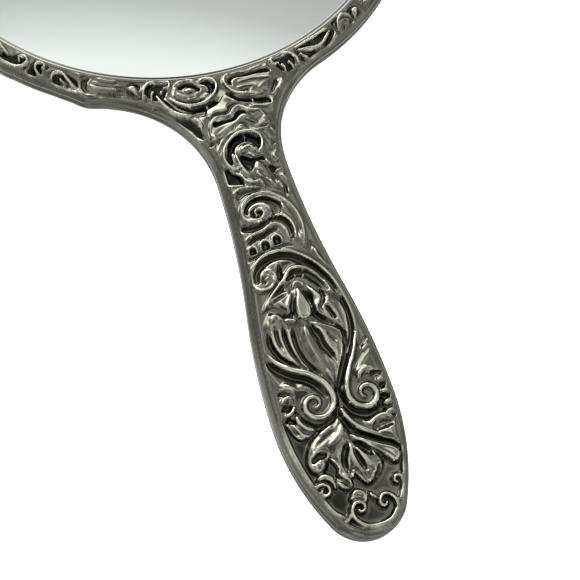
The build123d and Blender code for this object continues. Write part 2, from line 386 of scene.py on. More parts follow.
def handle_tip(f):
    """The last quarter of the handle: the lobed leaf, and the small scrolls round the end."""
    f.well([(-11.6, 13.4), (-12.3, 10.0), (-11.9, 4.4), (-11.0, -0.2), (-9.6, -4.8), (-7.8, -8.4),
        (-5.1, -11.4), (-2.0, -12.9), (1.5, -12.9), (4.9, -11.5), (7.6, -8.2), (9.3, -4.2), (10.2, -0.4),
        (10.4, 2.0), (6.0, 4.0), (2.0, 8.0), (0.6, 11.4), (-3.0, 10.2), (-6.4, 8.6), (-9.2, 8.4),
        (-10.8, 11.4)])
    # Small scrolls on the sunk ground.
    f.ridge([(-8.9, -4.6), (-8.2, -6.4), (-7.1, -8.0), (-5.5, -9.4)], 0.5, 0.95, ends=(0.5, 0.5))
    f.ridge(curl([(-9.9, -3.0), (-9.2, -1.9), (-8.0, -1.7), (-7.0, -2.4), (-6.9, -3.4)], (-7.9, -3.2),
        0.7, 0.5), 0.42, 1.15, ends=(0.6, 0.6))
    f.leaf([(-8.9, -0.6), (-7.6, 0.6), (-5.8, 0.0), (-5.0, -1.8), (-5.6, -3.6), (-6.3, -2.2), (-7.2, -1.3)],
        0.9, 0.8)
    f.leaf([(-3.9, -6.2), (-2.4, -4.4), (-0.8, -4.8), (0.0, -6.4), (-0.6, -7.9), (-1.5, -7.0),
        (-2.6, -6.7)], 1.1, 0.9)
    f.ridge([(-3.4, -6.0), (-2.2, -5.0), (-0.9, -5.4), (-0.4, -6.7), (-1.0, -7.5)], 0.32, 1.4)
    scroll = [(5.2, -10.2), (3.4, -12.0), (0.8, -12.5), (-1.8, -12.0), (-3.6, -10.4), (-4.0, -8.6),
        (-3.2, -7.3)]
    f.ridge(curl(scroll, (-2.1, -8.4), 0.85, 0.45), 0.5, 1.3, ends=(0.7, 0.6))
    f.ridge(curl([(3.8, -11.8), (5.3, -10.2), (5.3, -8.6), (4.4, -7.3), (3.0, -7.0), (2.1, -8.0)],
        (3.0, -8.5), 0.6, 0.45), 0.42, 1.2, ends=(0.5, 0.6))
    f.ridge([(-4.2, -8.6), (-5.0, -9.8), (-5.9, -10.2)], 0.4, 0.9)
    f.ridge([(0.5, -5.8), (1.0, -6.6), (1.8, -7.3)], 0.42, 0.95)
    f.ridge(curl([(6.0, -9.0), (7.4, -7.6), (8.2, -5.9), (7.9, -4.5)], (7.0, -5.0), 0.75, 0.4),
        0.42, 1.1, ends=(0.5, 0.5))
    f.ridge([(5.4, -8.6), (6.6, -8.9)], 0.4, 0.8)

    # Blades to the right of the leaf.
    f.leaf([(0.1, 12.6), (1.2, 12.2), (2.4, 10.4), (4.4, 8.6), (6.4, 9.0), (8.6, 9.4), (10.6, 8.8),
        (11.2, 6.6), (11.0, 3.6), (10.2, 1.4), (8.2, 2.6), (5.8, 4.2), (3.6, 5.4), (1.6, 7.6), (0.3, 10.0)],
        1.15, 1.6)
    f.cut([(6.7, 6.4), (8.0, 6.8), (9.4, 6.7)], 1.35, 1.0, ends=(0.8, 0.8), sharp=0.9)
    f.vein([(0.5, 12.0), (0.9, 10.2), (1.9, 8.4), (3.8, 6.4), (6.0, 4.8), (8.2, 3.2)], 0.5, 0.3)
    f.cut([(1.6, 10.6), (2.8, 8.6), (4.8, 6.8), (6.6, 5.4)], 0.6, 0.3)
    f.leaf([(0.2, 6.8), (1.8, 6.1), (3.8, 4.8), (6.0, 3.3), (8.4, 2.1), (9.5, 0.4), (9.0, -1.4),
        (7.4, -1.6), (6.2, -0.2), (4.6, 1.4), (2.6, 3.2), (0.9, 4.8)], 1.2, 1.1)
    f.ridge([(7.4, -1.2), (8.6, -0.9), (9.0, 0.2), (7.9, 1.4), (5.9, 2.5), (3.4, 4.1), (1.0, 5.6)],
        0.34, 1.5)
    f.cut([(1.0, 6.8), (3.2, 5.5), (5.8, 3.9), (8.8, 2.2), (10.2, 0.6)], 0.42, 0.75)

    # The lobed leaf.
    f.leaf([(-0.6, 10.8), (0.6, 8.4), (1.2, 5.4), (3.0, 3.4), (4.8, 1.8), (5.6, 0.4), (5.4, -1.2),
        (4.3, -2.8), (2.5, -4.0), (0.8, -4.3), (-0.1, -2.8), (-1.0, -1.1), (-1.7, -2.4), (-2.3, -3.9),
        (-3.8, -4.2), (-5.0, -3.2), (-5.3, -1.4), (-4.3, -0.3), (-4.0, 1.4), (-5.2, 2.8), (-5.9, 1.2),
        (-7.6, 0.2), (-9.2, 1.2), (-9.7, 3.2), (-8.9, 5.6), (-7.4, 7.6), (-5.2, 9.1), (-2.4, 10.1)],
        1.3, 2.0)
    f.cut([(-8.2, 3.1), (-7.2, 3.8), (-5.8, 3.8)], 0.75, 1.1, ends=(0.7, 0.7))
    f.ridge([(-8.7, 3.7), (-7.2, 4.7), (-5.4, 4.8), (-4.9, 3.8), (-5.8, 2.4)], 0.34, 1.4)
    f.ridge([(-7.9, 2.5), (-6.9, 2.3), (-6.1, 1.8)], 0.5, 1.05)
    f.cut([(-4.9, -1.2), (-3.6, -2.3), (-2.9, -3.4)], 0.75, 0.75, ends=(0.6, 0.6))
    f.ridge([(-5.1, 3.1), (-4.1, 1.7), (-3.7, 0.3), (-4.0, -0.6), (-3.2, -1.8), (-2.5, -2.6), (-2.2, -3.8)],
        0.32, 1.45)
    f.cut([(-0.4, 4.7), (-1.5, 3.3), (-2.3, 1.4), (-2.4, -0.6)], 0.62, 1.15, ends=(0.3, 0.6), sharp=0.9)
    f.cut([(0.4, 3.2), (0.8, 0.8), (1.5, -1.4)], 0.52, 1.1, ends=(0.4, 0.4), sharp=0.9)
    f.cut([(0.8, 4.6), (2.3, 3.0), (3.7, 1.2)], 0.75, 1.1, ends=(0.3, 0.4), sharp=0.9)
    f.cut([(4.6, -1.2), (3.8, -2.4), (2.8, -3.4)], 0.4, 0.8)
    f.vein([(-0.3, 5.6), (-0.4, 2.2), (0.0, -0.4), (0.9, -3.2)], 0.45, 0.35)
    f.vein([(0.7, 4.4), (1.4, 1.8), (2.6, -0.4), (3.4, -2.0)], 0.45, 0.35)
    f.vein([(-5.6, 7.8), (-4.0, 8.6), (-2.4, 9.2)], 0.6, 0.35)
    f.vein([(-4.2, 5.3), (-2.6, 6.1), (-1.2, 7.2), (-0.4, 8.8)], 0.75, 0.5)
    f.cut([(-6.8, 5.8), (-4.6, 6.8), (-2.4, 7.8)], 0.5, 0.3)
    f.vein([(-2.9, 4.0), (-3.3, 1.8), (-3.0, -0.4)], 0.45, 0.3)
    f.ridge([(-2.5, -0.4), (-1.7, -2.0), (-1.0, -0.9), (-0.1, -2.5), (0.8, -4.0)], 0.28, 1.3)


def handle_flower(f):
    """The lily in the middle of the handle, its two curling stems, and the scalloped leaves beside them."""
    # Dark hollows round the stems and the volutes.
    f.cut([(-11.4, 0.4), (-9.9, -2.0), (-7.2, -4.6), (-4.4, -6.3), (-2.6, -8.4), (-1.6, -10.6)], 0.9, 0.95)
    f.cut([(-8.7, -11.2), (-8.2, -14.0), (-6.0, -16.2), (-3.2, -16.8), (-1.0, -15.8), (0.4, -13.6),
        (0.8, -10.0)], 0.8, 1.1)
    f.cut([(1.2, -9.0), (1.5, -12.0), (2.8, -15.0), (5.4, -16.6), (8.4, -16.4), (10.2, -14.4),
        (10.8, -12.0)], 0.95, 1.1)

    # Scalloped leaves, left and right.
    f.leaf([(-11.6, -0.6), (-9.4, -3.6), (-6.8, -5.8), (-4.6, -7.6), (-4.6, -9.2), (-7.2, -9.8),
        (-8.6, -11.6), (-9.4, -9.8), (-11.0, -8.6), (-11.9, -5.0)], 0.85, 1.5)
    f.vein([(-9.9, -6.0), (-8.6, -6.5), (-7.2, -7.8)], 0.7, 0.45)
    f.vein([(-6.2, -6.6), (-5.4, -7.4), (-4.4, -8.0)], 0.6, 0.4)
    f.cut([(-10.8, -7.5), (-9.4, -7.7), (-8.0, -8.8)], 0.55, 1.0)
    f.ridge([(-8.2, -8.9), (-9.6, -8.7), (-11.0, -9.5)], 0.62, 1.15)
    f.cut([(-11.0, -10.9), (-9.8, -10.6), (-8.8, -11.2)], 0.6, 1.1)
    f.ridge([(-8.2, -10.6), (-9.4, -12.0), (-11.0, -12.3)], 0.55, 1.1)
    f.cut([(-11.2, -13.5), (-10.2, -13.4), (-9.6, -14.6), (-9.4, -16.6)], 0.6, 1.1)
    f.ridge([(-8.8, -12.4), (-8.5, -14.4), (-7.4, -16.0), (-5.6, -17.0)], 0.62, 1.2)
    f.ridge([(-10.2, -13.9), (-9.3, -15.6), (-8.4, -17.2), (-6.6, -17.9)], 0.42, 1.0)
    f.leaf([(5.2, -8.2), (5.8, -6.4), (7.4, -4.6), (9.6, -2.9), (11.6, -2.4), (12.2, -5.0), (12.2, -9.0),
        (10.6, -10.0), (9.4, -9.4), (8.0, -8.8), (6.4, -9.6)], 0.9, 1.6)
    f.vein([(6.0, -9.4), (6.9, -8.0), (8.4, -7.2), (9.8, -7.8)], 0.75, 0.5)
    f.cut([(9.0, -8.6), (10.4, -8.5), (11.9, -8.9)], 0.4, 0.8)
    for x, y in ((10.6, -10.0), (10.8, -12.6), (10.6, -15.0), (10.4, -17.0)):
        f.ridge([(x - 0.8, y - 0.3), (x + 0.3, y), (x + 1.4, y + 0.3)], 0.62, 1.05, ends=(0.6, 0.8))
        f.cut([(x - 0.6, y - 1.5), (x + 0.4, y - 1.3), (x + 1.3, y - 1.1)], 0.42, 0.8)
    f.ridge([(8.9, -3.4), (10.2, -2.4), (11.7, -2.6)], 0.5, 1.0)
    f.cut([(8.6, -2.2), (10.2, -1.0), (11.6, -0.4)], 0.45, 0.35)

    # Left stem and volute.
    left = [(-11.0, 2.6), (-9.2, -0.8), (-6.6, -3.3), (-3.8, -4.9), (-1.9, -6.8), (-0.6, -9.0),
        (-0.2, -11.2), (-0.9, -13.2), (-2.8, -14.6)]
    f.ridge(curl(left, (-4.3, -11.6), 1.1, 0.75), 0.74, 1.35, ends=(0.4, 0.6), sharp=0.85)
    f.ridge([(-3.3, -4.8), (-1.6, -6.5), (-0.3, -8.8), (0.1, -11.0), (-0.5, -13.0), (-2.0, -14.3),
        (-4.0, -14.5), (-5.8, -13.6), (-6.5, -11.8), (-5.9, -10.4)], 0.3, 1.55)
    # Right stem and volute.
    right = [(8.9, 0.6), (7.5, -2.2), (5.9, -5.0), (4.4, -7.4), (3.3, -9.8), (3.0, -12.2), (4.1, -14.2),
        (6.1, -15.0)]
    f.ridge(curl(right, (6.8, -12.2), 0.95, 0.95), 0.78, 1.35, ends=(0.6, 0.6), sharp=0.85)
    f.ridge([(9.1, 1.0), (7.4, -2.4), (5.6, -5.4), (4.0, -8.2), (2.9, -10.8), (3.0, -13.0), (4.3, -14.7),
        (6.2, -15.2), (8.0, -14.5), (8.8, -13.0)], 0.3, 1.6)
    f.cut([(6.4, -4.8), (5.6, -6.6), (4.8, -8.6)], 0.3, 0.5)

    # Petals.
    f.leaf([(-8.8, 9.4), (-7.2, 10.6), (-5.2, 9.6), (-3.4, 7.4), (-2.6, 5.0), (-2.9, 2.0), (-2.8, -1.4),
        (-1.8, -4.6), (-3.6, -4.7), (-6.4, -2.9), (-8.6, 0.0), (-9.9, 3.4), (-10.0, 7.0)], 1.2, 1.9)
    f.cut([(-8.9, 6.2), (-9.1, 3.2), (-8.2, 0.4), (-6.6, -1.8), (-4.6, -3.6)], 0.5, 0.95, ends=(0.2, 0.4))
    f.cut([(-7.2, 6.4), (-7.5, 3.8), (-7.0, 1.2)], 0.4, 0.7, ends=(0.2, 0.3))
    f.cut([(-5.6, 6.2), (-6.0, 3.4), (-5.6, 0.4), (-4.5, -2.2), (-3.5, -4.2)], 0.55, 1.05, ends=(0.2, 0.4))
    f.cut([(-3.6, 5.6), (-4.1, 3.0), (-4.0, 0.0), (-3.0, -3.0), (-1.2, -5.8)], 0.6, 1.05, ends=(0.3, 0.5))
    f.vein([(-8.2, 5.8), (-8.3, 2.6), (-7.4, -0.2), (-5.8, -2.8)], 0.4, 0.35)
    f.vein([(-6.6, 5.8), (-6.7, 2.6), (-6.3, -0.2), (-5.0, -2.8)], 0.35, 0.3)
    f.vein([(-4.8, 5.4), (-5.0, 2.0), (-4.7, -0.8), (-3.6, -3.6)], 0.4, 0.4)
    f.vein([(-7.6, 7.8), (-6.8, 9.0), (-5.8, 8.6), (-5.4, 7.4)], 0.7, 0.4)
    f.leaf([(2.9, 7.4), (4.1, 10.0), (5.6, 10.9), (7.4, 10.2), (8.6, 7.8), (9.0, 4.4), (8.4, 1.2),
        (7.0, -1.6), (5.6, -4.2), (5.8, -1.2), (6.2, 1.8), (4.8, 4.4)], 1.15, 1.5)
    f.cut([(4.8, 8.3), (5.3, 6.8), (5.9, 5.1)], 0.55, 1.1, ends=(0.4, 0.4))
    f.cut([(6.4, 9.1), (7.1, 6.6), (7.3, 3.4), (6.7, 0.2)], 0.3, 0.4)
    f.cut([(8.8, 9.4), (9.0, 5.4), (8.2, 1.6), (6.9, -1.2), (5.9, -3.8)], 0.6, 0.8)
    f.vein([(4.4, 9.6), (5.8, 10.4), (7.2, 9.6), (8.0, 7.4), (8.3, 4.6)], 0.35, 0.35)
    # Lower petals, with the smooth one in the middle.
    f.leaf([(0.0, 6.1), (1.4, 5.3), (3.2, 4.4), (5.4, 2.8), (6.1, 0.4), (5.4, -2.4), (3.8, -5.2),
        (1.9, -8.6), (0.8, -7.4), (0.6, -2.0), (0.0, 3.0)], 1.15, 1.4)
    f.cut([(0.4, 4.8), (1.2, 2.4), (1.5, 0.0), (2.3, -2.2), (2.9, -4.2)], 0.72, 1.2, ends=(0.4, 0.4),
        sharp=0.9)
    f.ridge([(2.0, 3.4), (2.7, 2.2), (2.2, 1.0), (3.0, -0.6), (3.4, -2.4)], 0.34, 1.15)
    f.cut([(3.1, 2.8), (3.6, 1.4), (4.4, 0.0)], 0.4, 0.5)
    f.ridge([(0.0, 5.8), (1.4, 5.0), (3.0, 4.0), (4.7, 2.9), (5.6, 1.8), (5.9, 0.2)], 0.3, 1.5)
    f.cut([(5.4, 3.6), (6.5, 2.0), (6.4, -0.4), (5.2, -3.4), (3.5, -6.2), (2.0, -8.8), (1.4, -10.6)],
        0.55, 0.9)
    f.leaf([(-0.9, 6.7), (-2.1, 4.8), (-2.9, 1.8), (-2.6, -1.4), (-1.4, -4.6), (0.7, -8.8), (1.8, -6.6),
        (1.6, -4.2), (0.8, -1.4), (0.0, 1.8), (-0.2, 4.6)], 1.3, 1.9)
    f.vein([(-0.8, 6.0), (-0.6, 3.2), (0.1, 0.0), (1.0, -3.0), (1.4, -6.0)], 0.4, 0.4)
    f.cut([(-2.0, 3.4), (-2.0, 0.4), (-1.2, -2.8)], 0.8, 0.2)
    f.vein([(0.3, -5.3), (0.9, -6.6), (0.9, -8.2)], 0.6, 0.35)

    # The deep fold between the bud and the right petals.
    f.cut([(1.4, 12.8), (1.9, 10.4), (1.5, 8.4), (2.8, 6.2), (4.8, 4.2)], 0.62, 1.1, ends=(0.5, 0.4))

    # Calyx leaves round the bud.
    f.leaf([(-9.0, 10.4), (-7.2, 12.4), (-4.8, 13.8), (-1.8, 14.2), (-1.3, 12.4), (-2.2, 9.8), (-3.2, 8.2),
        (-4.6, 10.0), (-6.6, 11.0)], 1.05, 1.2)
    f.vein([(-8.2, 11.1), (-6.4, 12.4), (-4.6, 13.2)], 0.4, 0.35)
    f.vein([(-4.6, 11.7), (-3.5, 10.2), (-2.6, 11.2), (-1.4, 13.0)], 0.6, 0.45)
    f.cut([(-6.0, 11.8), (-4.6, 12.5), (-2.6, 13.0)], 0.4, 0.55)
    f.cut([(-4.8, 8.6), (-3.4, 8.1), (-2.4, 9.2)], 0.42, 0.9)
    f.ridge([(-4.8, 7.6), (-3.6, 7.1), (-2.2, 6.6)], 0.6, 1.3)
    f.leaf([(1.9, 14.6), (3.4, 13.1), (4.8, 11.1), (4.3, 9.4), (3.4, 8.2), (3.9, 6.5), (2.8, 6.9),
        (1.9, 8.8), (2.3, 11.2)], 1.2, 0.9)
    f.vein([(2.2, 13.2), (3.6, 11.2), (3.9, 10.0), (2.9, 8.8), (2.6, 7.4)], 0.5, 0.45)
    f.cut([(4.9, 12.6), (5.0, 11.0), (4.1, 8.8)], 0.5, 0.7)
    # Bud.
    bud = [(-0.5, 14.3), (0.5, 14.3), (1.0, 12.6), (1.6, 10.6), (1.9, 8.6), (1.3, 6.8), (-0.3, 6.1),
        (-1.9, 6.7), (-2.4, 8.6), (-1.9, 10.8), (-1.1, 12.6)]
    f.leaf(bud, 0.95, 1.3)
    f.tilt(bud, (0.2, 14.4), (-0.2, 7.0), 1.1, 1.2)
    f.vein([(0.1, 14.0), (-0.1, 10.4), (-0.3, 6.8)], 2.2, 0.45, ends=(0.5, 0.9))
    f.ridge([(-0.9, 13.8), (-0.5, 14.8), (0.3, 15.2), (1.2, 14.8), (1.8, 13.8)], 0.3, 1.4)


def handle_scrolls(f):
    """The two big C-scrolls above the lily, with their scalloped fans."""
    # Great scroll.
    great = [(9.4, -25.0), (9.8, -21.0), (9.6, -17.0), (8.9, -13.6), (7.6, -10.2), (5.7, -7.3), (3.3, -4.9),
        (0.8, -3.3), (-2.0, -2.7), (-4.9, -3.1), (-7.2, -4.6), (-8.6, -6.8), (-8.7, -8.9), (-7.6, -10.4),
        (-5.9, -10.7)]
    f.leaf([(10.4, -20.0), (9.6, -13.0), (6.8, -7.0), (3.4, -3.4), (-0.6, -1.9), (-5.0, -2.2), (-8.4, -4.8),
        (-9.7, -8.4), (-8.4, -11.2), (-5.2, -11.4), (-3.2, -9.8), (-2.2, -7.8), (-1.0, -6.6), (1.6, -6.6),
        (4.2, -8.6), (6.2, -11.8), (8.0, -16.0)], 0.95, 1.5)
    f.cut([(8.3, -14.6), (7.2, -11.6), (5.2, -8.4), (2.8, -5.8), (0.0, -4.3), (-2.8, -4.0), (-5.4, -4.8),
        (-7.2, -6.4), (-7.6, -8.2)], 0.88, 1.35, ends=(0.3, 0.7), sharp=0.9)
    f.ridge(curl(great, (-5.7, -8.7), 0.6, 0.9), 0.36, 1.6, ends=(0.5, 0.7))
    f.cut([(-2.0, -5.6), (-2.4, -7.6), (-3.0, -9.4), (-4.6, -11.2)], 0.5, 1.0)
    f.ridge([(-6.4, -6.6), (-4.9, -6.6), (-3.8, -7.6), (-4.0, -9.0), (-5.2, -9.9)], 0.75, 1.3, sharp=0.9)
    f.pit([(-6.7, -9.3), (-6.9, -8.2), (-6.0, -7.5), (-5.2, -7.9), (-5.6, -8.6), (-5.9, -9.4)], 0.9, 0.35)
    f.ridge([(-6.2, -8.6), (-5.6, -8.2), (-4.9, -8.5)], 0.26, 1.4)

    # Fan between the great scroll and the bud.
    f.leaf([(-9.4, -16.0), (-6.8, -13.0), (-4.0, -10.4), (-1.8, -7.9), (0.4, -6.4), (3.0, -6.9),
        (5.4, -9.6), (7.6, -13.4), (8.4, -16.8), (6.8, -15.6), (4.8, -13.2), (3.0, -11.0), (1.0, -10.2),
        (-1.2, -11.0), (-3.4, -12.0), (-6.0, -14.0)], 0.95, 1.0)
    f.ridge([(-1.9, -8.9), (0.0, -7.5), (2.6, -7.8), (4.4, -9.2), (5.9, -11.4), (7.3, -14.2)], 0.36, 1.35)
    f.cut([(-1.4, -9.8), (0.4, -8.8), (2.8, -9.2), (4.8, -11.2), (6.4, -13.8)], 0.95, 1.3, ends=(0.4, 0.4),
        sharp=0.9)
    f.cut([(-6.4, -13.8), (-4.2, -12.0), (-2.2, -10.6)], 0.42, 0.8)
    f.ridge([(-8.8, -15.4), (-6.0, -12.6), (-3.6, -10.6), (-1.9, -8.9)], 0.38, 1.3)
    for x, y in ((0.6, -9.0), (2.4, -9.4)):
        f.ridge([(x - 0.3, y), (x + 0.3, y - 0.1)], 0.35, 0.6)

    # Upper scroll.
    upper = [(4.6, -3.2), (5.6, -0.4), (6.0, 3.0), (5.5, 6.2), (4.1, 8.9), (2.1, 10.9), (-0.4, 11.9),
        (-3.3, 11.7), (-5.4, 10.3), (-6.2, 8.1), (-5.4, 6.2), (-3.4, 5.7)]
    f.leaf([(5.0, -3.6), (6.2, -0.4), (6.8, 3.2), (6.4, 6.8), (4.8, 9.8), (2.2, 12.2), (-1.2, 13.0),
        (-4.8, 11.8), (-7.1, 8.4), (-6.0, 5.4), (-3.2, 4.8), (-1.0, 5.8), (0.4, 7.4), (2.2, 6.8),
        (3.8, 4.4), (4.2, 1.6), (3.6, -1.4)], 0.9, 1.2)
    f.cut([(4.9, -0.4), (5.1, 2.8), (4.5, 6.2), (3.2, 8.6)], 0.25, 0.45)
    f.well([(3.0, 8.6), (1.4, 10.3), (-0.6, 11.2), (-3.2, 11.0), (-5.0, 9.7), (-5.6, 8.0), (-4.6, 7.4),
        (-4.2, 8.6), (-2.8, 9.6), (-1.0, 9.5), (0.3, 8.4), (0.5, 6.8), (-0.2, 5.8), (1.4, 6.0), (2.6, 6.8)],
        DEEP, 0.35)
    f.ridge([(-4.2, 6.6), (-4.6, 7.8), (-3.8, 9.0), (-2.4, 9.3), (-1.1, 8.6), (-0.7, 7.2), (-1.4, 6.0)],
        0.6, 0.9)
    f.well([(-4.4, 6.7), (-4.3, 8.1), (-3.2, 8.8), (-1.9, 8.6), (-1.3, 7.6), (-1.6, 6.5), (-2.6, 6.0),
        (-3.6, 6.2)], -1.1, 0.3)
    f.ridge(upper, 0.38, 1.5, ends=(0.5, 0.9))
    f.ridge([(-3.6, 5.6), (-2.4, 5.9), (-1.5, 6.8), (-1.6, 7.9), (-2.5, 8.3), (-3.3, 7.8), (-3.0, 7.0)],
        0.3, 1.35, ends=(0.9, 0.8))
    f.cut([(0.2, 9.1), (0.9, 8.0), (0.6, 6.6)], 0.3, 0.3)
    f.cut([(-7.9, 5.0), (-5.6, 4.4), (-3.2, 4.3), (-1.0, 5.0)], 0.75, 1.1)
    # Fan inside it.
    f.cut([(-0.8, 5.4), (1.5, 4.8), (2.8, 2.6), (2.8, -0.2)], 0.75, 1.2, sharp=0.9)
    f.ridge([(0.7, 6.2), (2.6, 5.6), (3.8, 3.6), (4.0, 1.2), (3.2, -1.6)], 0.36, 1.3)
    f.ridge([(-7.8, 1.2), (-6.3, 2.4), (-4.6, 2.8), (-2.9, 3.0), (-1.3, 3.8), (0.7, 3.8), (1.9, 2.4),
        (2.2, 0.2), (2.0, -1.6)], 0.34, 1.2)
    f.cut([(-6.8, 1.0), (-4.8, 1.7), (-3.0, 1.9), (-1.2, 2.6), (0.4, 2.6)], 0.45, 0.9)
    for x, y, r in ((-8.4, -1.5, 0.6), (-6.4, -0.8, 0.95), (-3.4, -0.4, 1.15), (-0.6, 0.2, 1.15)):
        f.cut([(x - 0.3 * r, y - 0.5 * r), (x, y), (x + 0.3 * r, y - 0.5 * r)],
            0.62 * r, 0.85, ends=(0.9, 0.9))
        arch = [(x - r, y - 0.8 * r), (x - 0.85 * r, y + 0.4 * r), (x, y + 0.95 * r),
            (x + 0.85 * r, y + 0.4 * r), (x + r, y - 0.8 * r)]
        f.ridge(arch, 0.32, 1.15, ends=(0.7, 0.7))
    f.cut([(-9.4, -3.4), (-6.4, -2.6), (-3.0, -1.9), (0.4, -1.6), (2.4, -2.2)], 0.35, 0.4)

    # Slips of leaf beside the scrolls.
    f.cut([(6.2, -1.8), (7.6, -4.6), (9.2, -8.6), (10.2, -12.4)], 0.5, 0.35)
    f.ridge([(6.6, -3.0), (6.7, -5.0), (7.5, -7.2), (8.9, -10.2)], 0.5, 1.05)
    f.vein([(6.7, -4.2), (6.8, -5.4)], 0.4, 0.35)


